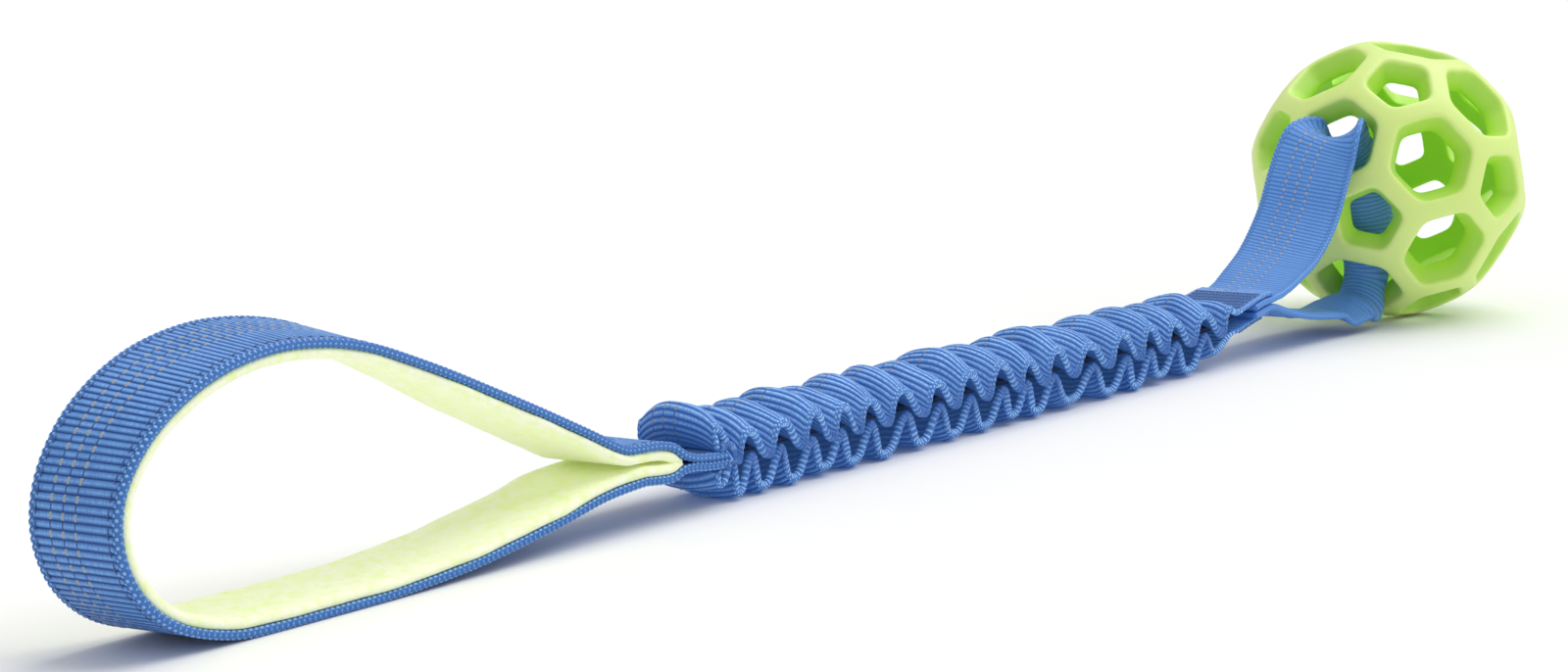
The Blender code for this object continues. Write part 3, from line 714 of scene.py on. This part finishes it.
def rubber_material(name):
    """Moulded rubber, painted paler outside for the sheen of its frosted skin
    and painted a deeper green down its holes for the shade there.
    """
    body, deep, light = palette(name)
    material, tree = new_material(name)
    shade_depth = weave_marks(tree)[1]
    places = object_places(tree)
    cloud = places.noise(CLOUD_RATE, 3.0)
    sheen_and_shade_depth = shade_depth + cloud.ramp(0.3, 0.7, -0.05, 0.05)
    # Painted sheen outside, then the body colour, then painted shade deep down the holes
    colour = sheen_and_shade_depth.ramp(0.02, 0.30).mix(light, body)
    colour = sheen_and_shade_depth.ramp(0.30, 0.95).mix(colour, deep)
    return finish(material, colour, places.noise(GRAIN_RATE, 2.0).bump(0.25, GRAIN_DEPTH),
                  Roughness=cloud.ramp(0.3, 0.7, 0.36, 0.50), Subsurface_Weight=0.25,
                  Subsurface_Radius=(0.7, 1.0, 0.15), Subsurface_Scale=RUBBER_GLOW_DEPTH)


def elastic_material(name):
    base, deep = palette(name)
    material, tree = new_material(name)
    _, turns, across, _ = weave_marks(tree)
    weave = across.sine(math.tau / ELASTIC_CORD_PITCH) + turns.sine(math.tau) * 0.6
    colour = weave.ramp(-1.0, 1.2).mix(deep, base)
    return finish(material, colour, weave.bump(0.6, ELASTIC_DEPTH), Roughness=0.75)


# Handle

def neck_spread(x):
    """Half the distance between the neck's arms, which opens out where the fleece begins."""
    opened = smoothstep((MOUTH_X - x - FLEECE_SPREAD_START) / FLEECE_SPREAD_LENGTH)
    return TAIL_SPREAD + (FLEECE_THICKNESS + CLEARANCE - TAIL_SPREAD) * opened


def loop_points():
    """The surface between webbing and lining, from the upper tail round to the lower one."""
    steps = round((TAIL_LENGTH + NECK_LENGTH) / NECK_STEP)
    x = MOUTH_X + TAIL_LENGTH - (TAIL_LENGTH + NECK_LENGTH) * np.arange(steps + 1) / steps
    upper, lower = (stacked(x, 0.0, axis_height(x) + side * neck_spread(x)) for side in (1, -1))
    loop = np.array([(MOUTH_X - reach * HANDLE_LENGTH, 0.0, LOOP_BASE + rise * HANDLE_HEIGHT)
                     for reach, rise in LOOP_SHARES])
    return spline_through(np.vstack((upper, loop, lower[::-1])))


def off_floor(points):
    """The line with no point lower than the band lets it lie."""
    return np.column_stack((points[:, :2], np.maximum(points[:, 2], LOOP_BASE)))


def loop_frame(points, closed=False):
    """Width line and outward line of the handle's band at each point."""
    runs = directions_along(points, closed)
    upright = stacked(runs[:, 2], 0.0, -runs[:, 0])
    top = LOOP_BASE + HANDLE_HEIGHT
    rise = (points[:, 2] - NECK_HEIGHT * 2) / (top - NECK_HEIGHT * 2)
    tilt = (math.radians(HANDLE_TILT_DEG) * smoothstep(rise))[:, None]
    width = LEVEL * np.cos(tilt) + upright * np.sin(tilt)
    outward = upright * np.cos(tilt) - LEVEL * np.sin(tilt)
    return runs, width, outward


def band_grid(points, width, outward, across, offset):
    centre = (points + outward * offset)[:, None] + width[:, None] * across[None, :, None]
    return centre, np.broadcast_to(outward[:, None], centre.shape)


def handle_webbing(material):
    """The band, closed on itself by a turn of the webbing inside the bungee's mouth."""
    points = loop_points()
    turn = np.linspace(-math.pi / 2, math.pi / 2, 24)[1:-1]
    x = MOUTH_X + TAIL_LENGTH
    bend = stacked(x + TURN_RADIUS * np.cos(turn), 0.0,
                   axis_height(x) + TURN_RADIUS * np.sin(turn))
    points, turns = ribbed(np.vstack((points, bend, points[:1])), RIB_PITCH)
    points, turns = off_floor(points[:-1]), turns[:-1]
    _, width, outward = loop_frame(points, True)
    across = across_places()
    offset = (CLEARANCE + WEBBING_THICKNESS) / 2
    centre, normal = band_grid(points, width, outward, across, offset)
    relief = rib_relief(turns, across, RIB_HEIGHT, SEEDS["band"])
    piece = strip("handle_band", centre, normal, turns, across, WEBBING_THICKNESS, material,
                  relief - RIB_HEIGHT, 0.0, SELVEDGE_BEAD, True)
    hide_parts("handle_webbing")
    return across_neck(piece, "blue_webbing")


def across_neck(piece, slot):
    """Bakes a handle piece's place into its mesh and returns it."""
    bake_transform(piece)
    return piece


def lined_points(step):
    """The part of the loop's line that the fleece covers, in even steps."""
    points = off_floor(loop_points())
    points = points[points[:, 0] <= MOUTH_X - FLEECE_SETBACK]
    return evenly(points, step)


def lining_line():
    """The fleece's line and its thickness, which the neck's arms leave less room for."""
    points = lined_points(LINING_STEP)
    room = np.abs(points[:, 2] - axis_height(points[:, 0])) + FLEECE_SEAT * 4
    near = points[:, 0] > MOUTH_X - HANDLE_LENGTH / 2
    return points, np.where(near, np.minimum(FLEECE_THICKNESS, room), FLEECE_THICKNESS)


def handle_fleece(material):
    points, thickness = lining_line()
    _, width, outward = loop_frame(points)
    edge = WEBBING_WIDTH / 2 - FLEECE_THICKNESS / 2
    across = np.linspace(-edge, edge, 44)
    turns = lengths_along(points) / PILE_GRAIN
    rows, columns = turns[:, None], across[None, :] / PILE_GRAIN
    worn = EDGE_WEAR * waves(SEEDS["wear"], rows / 7, np.sign(columns)) * (across / edge) ** 8
    seat = (FLEECE_SEAT - thickness / 2)[:, None, None]
    centre = (points[:, None] + outward[:, None] * seat
              + width[:, None] * (across[None, :] + worn * np.sign(across))[..., None])
    normal = np.broadcast_to(outward[:, None], centre.shape)
    pile = (PILE_HEIGHT * waves(SEEDS["pile"], rows / 2.3, columns / 2.3)
            + PILE_FINE_HEIGHT * waves(SEEDS["fine_pile"], rows, columns))
    pressed = (thickness / FLEECE_THICKNESS)[:, None]
    piece = strip("handle_lining", centre, normal, turns, across, thickness, material,
                  -PILE_SINK, pile * pressed)
    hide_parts("handle_fleece")
    return across_neck(piece, "fleece")


def handle_seams(material):
    """A line of stitches near each edge of the band, through webbing and fleece."""
    points = lined_points(SEAM_PITCH)
    runs, width, outward = loop_frame(points)
    rise = CLEARANCE / 2 + WEBBING_THICKNESS - RIB_HEIGHT * 0.45
    for index, share in enumerate(SEAM_LINE_SHARES):
        places = points + outward * rise + width * WEBBING_WIDTH * (0.5 - share)
        piece = stitches("handle_seam_%d" % index, places[1:-1], runs[1:-1], outward[1:-1],
                         SEAM_PITCH * SEAM_STITCH_SHARE, SEAM_THREAD, material, 0.25)
        across_neck(piece, "sewing_thread")


def tack_block(name, replaced, centre, runs, normal, spread, pitch, material, attach):
    """Rows of zigzag stitches across the webbing that stand for a block of thread."""
    rows = []
    for index, (place, run, out) in enumerate(zip(centre, runs, normal)):
        side = np.cross(out, run)
        for column in np.arange(-spread, spread + pitch / 2, pitch):
            lean = 0.5 if index % 2 else -0.5
            direction = unit(side * 0.55 + run * lean)
            rows.append((place + side * column, direction, out))
    places, directions, outs = (np.array(column) for column in zip(*rows))
    piece = stitches(name, places, directions, outs, pitch * TACK_STITCH_SHARE, TACK_THREAD,
                     material, 0.35)
    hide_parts(replaced)
    return attach(piece, "sewing_thread")


def handle_tacks(material):
    points = loop_points()
    low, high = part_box("handle_tack_top")
    rise = CLEARANCE / 2 + WEBBING_THICKNESS - RIB_HEIGHT * 0.3
    half = len(points) // 2
    for name, arm in (("handle_tack_top", points[:half]), ("handle_tack_bottom", points[half:])):
        kept = arm[(arm[:, 0] > low.x) & (arm[:, 0] < high.x + TAIL_LENGTH)]
        line = evenly(kept, TACK_ROW_PITCH)
        runs, _, outward = loop_frame(line)
        tack_block(name.replace("tack", "stitching"), name, line + outward * rise, runs,
                   outward, *HANDLE_TACK, material, across_neck)


# Bungee

def fold_crest(turns):
    """Nought in the creases and one on the ridges, which are rounder than the creases."""
    return (0.5 - 0.5 * np.cos(turns * math.tau)) ** FOLD_ROUNDNESS


def cover_height(turns, across, crest_height, side):
    """Height of a gathered layer over the middle line, by fold and place across."""
    crest = fold_crest(turns)
    uneven = FOLD_UNEVENNESS * waves(SEEDS["crests"] + side, turns / 2.6, across / 2.4, octaves=2)
    crest = crest * (1 + CREST_VARIATION_SHARE * np.sin(turns * CREST_VARIATION_RATE) + uneven)
    hood = 1 - smoothstep(turns / 2)
    if side < 0:
        crest = crest * (1 - (1 - LOWER_HOOD_SHARE) * (1 - smoothstep(turns - 0.5)))
    middle = VALLEY_HEIGHT + (crest_height + side * HOOD_RISE * hood - VALLEY_HEIGHT) * crest
    edge_crest = EDGE_CREST_HEIGHT + HOOD_EDGE_RISE * hood
    uneven = EDGE_UNEVENNESS * waves(SEEDS["edges"] + side, turns / 2.2, np.sign(across),
                                     octaves=2)
    edge_crest = edge_crest * (1 + uneven)
    steep = smoothstep(0.5 - 0.5 * np.cos(turns * math.tau))
    edge = EDGE_VALLEY_HEIGHT + (edge_crest - EDGE_VALLEY_HEIGHT) * steep
    hangs = smoothstep(turns - 0.4) * smoothstep((FOLD_COUNT - turns) / 1.5)
    edge = edge - side * EDGE_DROOP * hangs
    power = VALLEY_DOME_POWER + (DOME_POWER - VALLEY_DOME_POWER) * np.clip(crest, 0.0, 1.0)
    dome = np.clip(1 - across * across, 0.0, 1.0) ** power
    return edge + (middle - edge) * dome


def cover_place(turns, across, side):
    """Distance from the mouth to a point of a layer, with the folds' overhang."""
    shares = np.array(FOLD_WIDTH_SHARES)
    scale = COVER_LENGTH / shares.sum()
    starts = np.concatenate(([0.0], np.cumsum(shares)))[:-1] * scale
    fold = np.clip(turns.astype(int), 0, FOLD_COUNT - 1)
    width = shares[fold] * scale
    part = turns - fold
    first = fold == 0
    bulge = np.where(first, HOOD_BULGE, width / math.tau * FOLD_BULGE_SHARE)
    lean = HOOD_LEAN if side > 0 else LOWER_HOOD_LEAN
    lean = np.where(first, lean * np.sin(part * math.pi), 0.0)
    settled = smoothstep(turns - 1) * smoothstep(FOLD_COUNT - turns)
    skew = FOLD_SKEW * across * np.sin(turns * FOLD_SKEW_RATE)
    skew = skew + FOLD_WANDER * waves(SEEDS["wander"] + side, turns / 3.1, across / 1.9,
                                      octaves=2)
    skew = skew + side * EDGE_SHIFT_SHARE * COVER_LENGTH / FOLD_COUNT * np.abs(across) ** 3
    bulge = bulge * (1 - EDGE_STRAIGHTNESS * across * across)
    skew = skew * settled
    return starts[fold] + width * part - bulge * np.sin(part * math.tau) - lean + skew


def cover_grid(turns, shares, crest_height, side):
    """Middle points of one gathered layer for fold turns, past the last fold its tail."""
    in_folds = np.minimum(turns, FOLD_COUNT)[:, None]
    tail = np.maximum(turns - FOLD_COUNT, 0.0)[:, None] * SEAM_TAIL_LENGTH
    shares = shares[None, :]
    place = cover_place(in_folds, shares, side) + tail
    height = cover_height(in_folds, shares, crest_height, side)
    seated = np.maximum(height, MOUTH_SEAT)
    near_mouth = smoothstep((TAIL_END + COVER_THICKNESS - place) / COVER_THICKNESS)
    height = height + (seated - height) * near_mouth
    start = 1 - smoothstep(in_folds * 6)
    height = height + (MOUTH_SEAT - height) * start
    height = height + (SEAM_SEAT - height) * smoothstep(in_folds - FOLD_COUNT + 1)
    x = MOUTH_X + place
    z = np.maximum(axis_height(x) + side * height, COVER_THICKNESS / 2 - FLOOR_FLAT_DEPTH)
    narrow = 1 - CREST_NARROWING * fold_crest(in_folds) * smoothstep(in_folds * 2)
    if side < 0:
        narrow = narrow - LOWER_NARROWING
    return stacked(x, shares * COVER_HALF_WIDTH * narrow, z)


def cover_layer(replaced, side, crest_height, material):
    shares = np.sin(np.linspace(-1.0, 1.0, COVER_COLUMNS) * math.pi / 2)
    shares = shares * (1 - (COVER_THICKNESS / 2 + COVER_CORD) / COVER_HALF_WIDTH)
    fine = np.linspace(0.0, FOLD_COUNT + 1.0, 4000)
    line = cover_grid(fine, np.array([0.0]), crest_height, side)[:, 0]
    lengths = lengths_along(line)
    ribs = round(lengths[-1] / COVER_RIB_PITCH)
    wanted = np.linspace(0.0, lengths[-1], ribs * STATIONS_PER_RIB + 1)
    turns = np.interp(wanted, lengths, fine)
    centre = cover_grid(turns, shares, crest_height, side)
    normal = unit(np.cross(*np.gradient(centre, axis=(0, 1)))) * side
    count = np.arange(len(turns)) / STATIONS_PER_RIB
    across = shares * WEBBING_WIDTH / 2
    relief = rib_relief(count, across, COVER_RIB_HEIGHT, SEEDS[replaced])
    sewn = smoothstep((turns - FOLD_COUNT + 0.5) / 0.6)
    relief = (relief - COVER_RIB_HEIGHT * 0.5) * (1 - 0.6 * sewn[:, None])
    piece = strip("gathered_" + replaced, centre, normal, count, across,
                  COVER_THICKNESS * (1 - 0.4 * sewn), material, relief, 0.0, COVER_BEAD,
                  cord=COVER_CORD * (1 - sewn))
    # Painted shade: each point's share of the darkening in the folds' creases, which the cover's
    # material reads
    shade_depth = 1 - fold_crest(np.minimum(turns, FOLD_COUNT - 0.5))
    folds = piece.data.attributes.new("painted_crease_shade", "FLOAT", "POINT")
    folds.data.foreach_set("value", np.repeat(shade_depth, len(piece.data.vertices) // len(turns))
                           .astype(np.float32))
    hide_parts(replaced)
    return along_bungee(piece)


def along_bungee(piece):
    """Bakes a bungee piece's place into its mesh and returns it."""
    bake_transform(piece)
    return piece


def middle_line(x, side):
    """The toy's middle line at the given places, its runs and its normals to one side."""
    points = stacked(x, 0.0, axis_height(x))
    runs = directions_along(points)
    return points, runs, unit(np.cross(runs, LEVEL)) * side


def elastic_core(material):
    start = MOUTH_X + TAIL_END + CLEARANCE
    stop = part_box("elastic_band")[1].x
    points, _, normal = middle_line(np.linspace(start, stop, 360), 1)
    half = ELASTIC_WIDTH / 2 * ELASTIC_SHARE
    across = np.linspace(-half, half, 25)
    centre, normals = band_grid(points, LEVEL[None], normal, across, 0.0)
    turns = lengths_along(points) / ELASTIC_PICK_PITCH
    cords = ELASTIC_CORD_HEIGHT * np.cos(across / ELASTIC_CORD_PITCH * math.tau)
    piece = strip("elastic_core", centre, normals, turns, across,
                  ELASTIC_THICKNESS * ELASTIC_SHARE, material, cords, cords)
    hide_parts("elastic_band")
    return along_bungee(piece)


def strap_tacks(material):
    for name, side in (("strap_tack_top", 1), ("strap_tack_bottom", -1)):
        low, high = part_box(name)
        x = np.linspace(low.x - STRAP_TACK_LEAD, high.x + STRAP_TACK_TRAIL, STRAP_TACK_ROWS)
        rise = SEAM_SEAT + COVER_THICKNESS / 2
        points, runs, normal = middle_line(x, side)
        tack_block(name.replace("tack", "stitching"), name, points + normal * rise, runs,
                   normal, *STRAP_TACK, material, on_tail)


def on_tail(piece, slot):
    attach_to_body(piece, "bungee_tail")
    return piece


# Ball strap

def strap_line():
    """Fine rows of place, squeeze, turn and tilt along the strap."""
    shares, rises, squeezes, turns, tilts, drifts = np.array(STRAP_ROUTE_SHARES).T
    x = (SEAM_END_X + (BALL_SIDE_X - SEAM_END_X) * np.minimum(shares, 1.0)
         + BALL_RADIUS * np.maximum(shares - 1.0, 0.0))
    route = stacked(x, drifts * BALL_RADIUS, rises * BALL_RADIUS * 2)
    route[0] = (SEAM_END_X, 0.0, axis_height(SEAM_END_X) + STRAP_SPREAD)
    route[-1] = (SEAM_END_X, 0.0, axis_height(SEAM_END_X) - STRAP_SPREAD)
    tails = SEAM_END_X - STRAP_TAIL_LENGTH * np.array((1.0, 0.5))
    upper, lower = (stacked(tails, 0.0, axis_height(tails) + side * STRAP_SPREAD)
                    for side in (1, -1))
    points = resample(spline_through(np.vstack((upper, route, lower[::-1]))), 900)
    gaps = np.linalg.norm(points[:, None] - route[None], axis=2)
    ranked = np.argsort(gaps, axis=1)[:, :2]
    near, far = np.take_along_axis(gaps, ranked, axis=1).T
    share = (near / (near + far))[:, None]
    bends = stacked(squeezes, np.radians(turns), np.radians(tilts))
    bends = bends[ranked[:, 0]] * (1 - share) + bends[ranked[:, 1]] * share
    window = np.hanning(13) / np.hanning(13).sum()
    smooth = [np.convolve(np.pad(column, 6, "edge"), window, "valid") for column in bends.T]
    return np.column_stack([points] + smooth)


def strap_grid(rows, across):
    """Middle points and normals of the strap, curled up at its edges by the squeeze."""
    points, squeeze, turn, tilt = rows[:, :3], rows[:, 3], rows[:, 4], rows[:, 5]
    runs = directions_along(points)
    width = stacked(-np.sin(turn), np.cos(turn), np.sin(tilt))
    width = unit(width - runs * (width * runs).sum(-1, keepdims=True))
    outward = np.cross(runs, width)
    radius = STRAP_CUP_RADIUS / np.maximum(squeeze, 0.01)[:, None, None]
    angle = across[None, :, None] / radius
    centre = (points[:, None] + width[:, None] * radius * np.sin(angle)
              + outward[:, None] * radius * (1 - np.cos(angle)))
    normal = outward[:, None] * np.cos(angle) - width[:, None] * np.sin(angle)
    return centre, normal


def ball_strap(material):
    """One strip in three pieces: its two roots and its bight."""
    rows, turns = ribbed(strap_line(), STRAP_RIB_PITCH)
    across = across_places()
    centre, normal = strap_grid(rows, across)
    relief = rib_relief(turns, across, STRAP_RIB_HEIGHT, SEEDS["strap"]) - STRAP_RIB_HEIGHT
    root_x = SEAM_END_X + STRAP_ROOT_LENGTH
    inside = np.flatnonzero(rows[:, 0] > root_x)
    first, last = (round(index / STATIONS_PER_RIB) * STATIONS_PER_RIB
                   for index in (inside[0], inside[-1]))
    for name, part in (("strap_root_upper", slice(0, first + 1)),
                       ("strap_bight", slice(first, last + 1)),
                       ("strap_root_lower", slice(last, len(rows)))):
        piece = strip(name, centre[part], normal[part], turns[part], across,
                      WEBBING_THICKNESS, material, relief[part], 0.0, STRAP_BEAD)
        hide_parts("ball_strap")
        if name == "strap_bight":
            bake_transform(piece)
        else:
            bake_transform(piece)


# Ball

def icosahedron():
    """The twelve corners, from one rectangle of golden proportions turned to each axis."""
    golden = (1 + math.sqrt(5)) / 2
    plane = [(0, a, b * golden) for a in (-1, 1) for b in (-1, 1)]
    return [Vector(corner[-axis:] + corner[:-axis]).normalized()
            for axis in range(3) for corner in plane]


def sort_ring(ring):
    centre = sum(ring, Vector()) / len(ring)
    first = (ring[0] - centre).normalized()
    side = centre.normalized().cross(first)
    return sorted(ring, key=lambda p: math.atan2((p - centre).dot(side),
                                                 (p - centre).dot(first)))


def lattice_faces(corners):
    """The twelve pentagons and twenty hexagons as rings of unit directions."""
    edge = min((corners[0] - corner).length for corner in corners[1:])
    near = {a: [b for b in range(12) if b != a and (corners[a] - corners[b]).length < edge * 1.01]
            for a in range(12)}

    def ring(pairs):
        return sort_ring([corners[i].lerp(corners[j], 1 / 3) for i, j in pairs])

    faces = [ring((a, b) for b in near[a]) for a in range(12)]
    for a in range(12):
        for b in near[a]:
            for c in near[a]:
                if a < b < c and c in near[b]:
                    faces.append(ring(((a, b), (b, a), (b, c), (c, b), (c, a), (a, c))))
    return faces


def rim_outline(ring):
    """A face's outline on the bars' middle lines, with the same points from both sides."""
    points = []
    for before, corner, after in zip(ring[-1:] + ring, ring, ring[1:] + ring[:1]):
        points += [corner.lerp(before, RIM_SHARES[1]), corner.lerp(before, RIM_SHARES[0]),
                   corner, corner.lerp(after, RIM_SHARES[0]),
                   corner.lerp(after, RIM_SHARES[1])]
    return [point.normalized() for point in points]


def hole_outline(ring, inset):
    """A rounded outline inside a face; the inset is measured at the ball's surface."""
    corners = [point.normalized() * BALL_RADIUS for point in ring]
    centre = sum(corners, Vector()) / len(corners)
    apothem = ((corners[0] + corners[1]) / 2 - centre).length
    drawn = [centre.lerp(corner, 1 - inset / apothem) for corner in corners]
    points = []
    for before, corner, after in zip(drawn[-1:] + drawn, drawn, drawn[1:] + drawn[:1]):
        start = corner.lerp(before, CORNER_RADIUS_SHARE)
        stop = corner.lerp(after, CORNER_RADIUS_SHARE)
        for t in (0.0, 0.25, 0.5, 0.75, 1.0):
            points.append(start.lerp(corner, t).lerp(corner.lerp(stop, t), t))
    return [point.normalized() for point in points]


def lattice_ball(material):
    """The moulding: flat-topped bars with soft edges, and walls that close in downwards."""
    vertices, faces, shade_depths, index = [], [], [], {}

    def vertex(point, reach, shade_depth):
        key = tuple(round(value, 6) for value in point * reach)
        if key not in index:
            index[key] = len(vertices)
            vertices.append(point * reach)
            shade_depths.append(shade_depth)
        return index[key]

    for ring in lattice_faces(icosahedron()):
        rim = rim_outline(ring)
        levels = [(rim, BALL_RADIUS, 0.0)]
        for draft, widening, wall, rounding, shade_depth in HOLE_SECTION_SHARES:
            inset = BALL_BAR_WIDTH / 2 + BALL_DRAFT * draft + BALL_EDGE_ROUND * widening
            reach = BALL_RADIUS - BALL_WALL * wall - BALL_EDGE_ROUND * rounding
            levels.append((hole_outline(ring, inset), reach, shade_depth))
        levels.append((rim, BALL_RADIUS - BALL_WALL, 1.0))
        loops = [[vertex(point, reach, shade_depth) for point in points]
                 for points, reach, shade_depth in levels]
        for loop_a, loop_b in zip(loops, loops[1:]):
            for place in range(len(rim)):
                after = (place + 1) % len(rim)
                faces.append((loop_a[place], loop_a[after], loop_b[after], loop_b[place]))
    turn = Euler([math.radians(angle) for angle in BALL_TURN_DEG]).to_matrix()
    places = np.array(vertices) @ np.array(turn).T
    places += np.array((BALL_X, 0.0, -places[:, 2].min()))
    # The weave marks carry each point's share of the painted sheen and shade
    piece = mesh_object("rubber_ball", places, faces, material,
                        stacked(np.array(shade_depths), 0.0, 0.0))
    subdivision = piece.modifiers.new("smooth", "SUBSURF")
    subdivision.levels = subdivision.render_levels = 1
    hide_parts("lattice_ball")
    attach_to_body(piece, "ball")


# Stage

def add_camera():
    azimuth, elevation = CAMERA_AZIMUTH, CAMERA_ELEVATION
    ahead = Vector((math.sin(azimuth) * math.cos(elevation),
                    math.cos(azimuth) * math.cos(elevation), -math.sin(elevation)))
    right = Vector((math.cos(azimuth), -math.sin(azimuth), 0.0))
    up = right.cross(ahead)
    roll = Matrix.Rotation(-CAMERA_ROLL, 3, ahead)
    axes = Matrix((roll @ right, roll @ up, -ahead)).transposed().to_4x4()
    target = Vector((MOUTH_X, 0.0, 0.0)) + Vector(CAMERA_TARGET_FROM_MOUTH)
    data = bpy.data.cameras.new("camera")
    data.sensor_width = SENSOR_WIDTH_MM
    data.lens = FOCAL_PIXELS / IMAGE_WIDTH_PIXELS * SENSOR_WIDTH_MM
    data.clip_start, data.clip_end = CAMERA_CLIP
    camera = add_object("camera", data)
    camera.matrix_world = Matrix.Translation(target - ahead * CAMERA_DISTANCE) @ axes
    bpy.context.scene.camera = camera


def add_sun():
    """A wide soft light, far enough away to light the whole floor alike."""
    data = bpy.data.lights.new("overhead", "SUN")
    data.energy = OVERHEAD_STRENGTH
    data.angle = math.radians(OVERHEAD_SPREAD_DEG)
    light = add_object("overhead", data)
    light.rotation_euler = Vector(OVERHEAD_DIRECTION).to_track_quat("Z", "Y").to_euler()


def add_floor():
    mesh = bpy.data.meshes.new("floor")
    corners = [(x * FLOOR_REACH, y * FLOOR_REACH, 0)
               for x, y in ((-1, -1), (1, -1), (1, 1), (-1, 1))]
    mesh.from_pydata(corners, [], [(0, 1, 2, 3)])
    mesh.materials.append(finish(new_material("floor")[0], FLOOR_COLOUR, None, Roughness=0.9,
                                 Specular_IOR_Level=0.1))
    floor = add_object("floor", mesh)
    floor.location.z = -FLOOR_GAP


def add_world():
    world = bpy.data.worlds.new("studio")
    world.use_nodes = True
    background = world.node_tree.nodes["Background"]
    background.inputs["Color"].default_value = STUDIO_COLOUR
    background.inputs["Strength"].default_value = WORLD_STRENGTH
    bpy.context.scene.world = world
    bpy.context.scene.view_settings.view_transform = "Standard"


def build():
    webbing = webbing_material("blue_webbing")
    cover = webbing_material("blue_cover", 0.85, 0.90, 1.25, COVER_BRAID_PITCH, COVER_PAINTED_GLOW,
                             COVER_PAINTED_CREASE_SHADE)
    strap = webbing_material("blue_strap", painted_shine=0.30)
    thread, patch = thread_material("blue_thread"), thread_material("patch_thread")
    add_floor()
    add_world()
    add_sun()
    add_camera()
    handle_webbing(webbing)
    handle_fleece(fleece_material("fleece"))
    handle_seams(thread)
    handle_tacks(thread)
    elastic_core(elastic_material("elastic"))
    cover_layer("cover_top", 1, CREST_HEIGHT, cover)
    cover_layer("cover_bottom", -1, AXIS_HEIGHT + FLOOR_FLAT_DEPTH - COVER_THICKNESS / 2, cover)
    strap_tacks(patch)
    ball_strap(strap)
    lattice_ball(rubber_material("rubber"))


build()
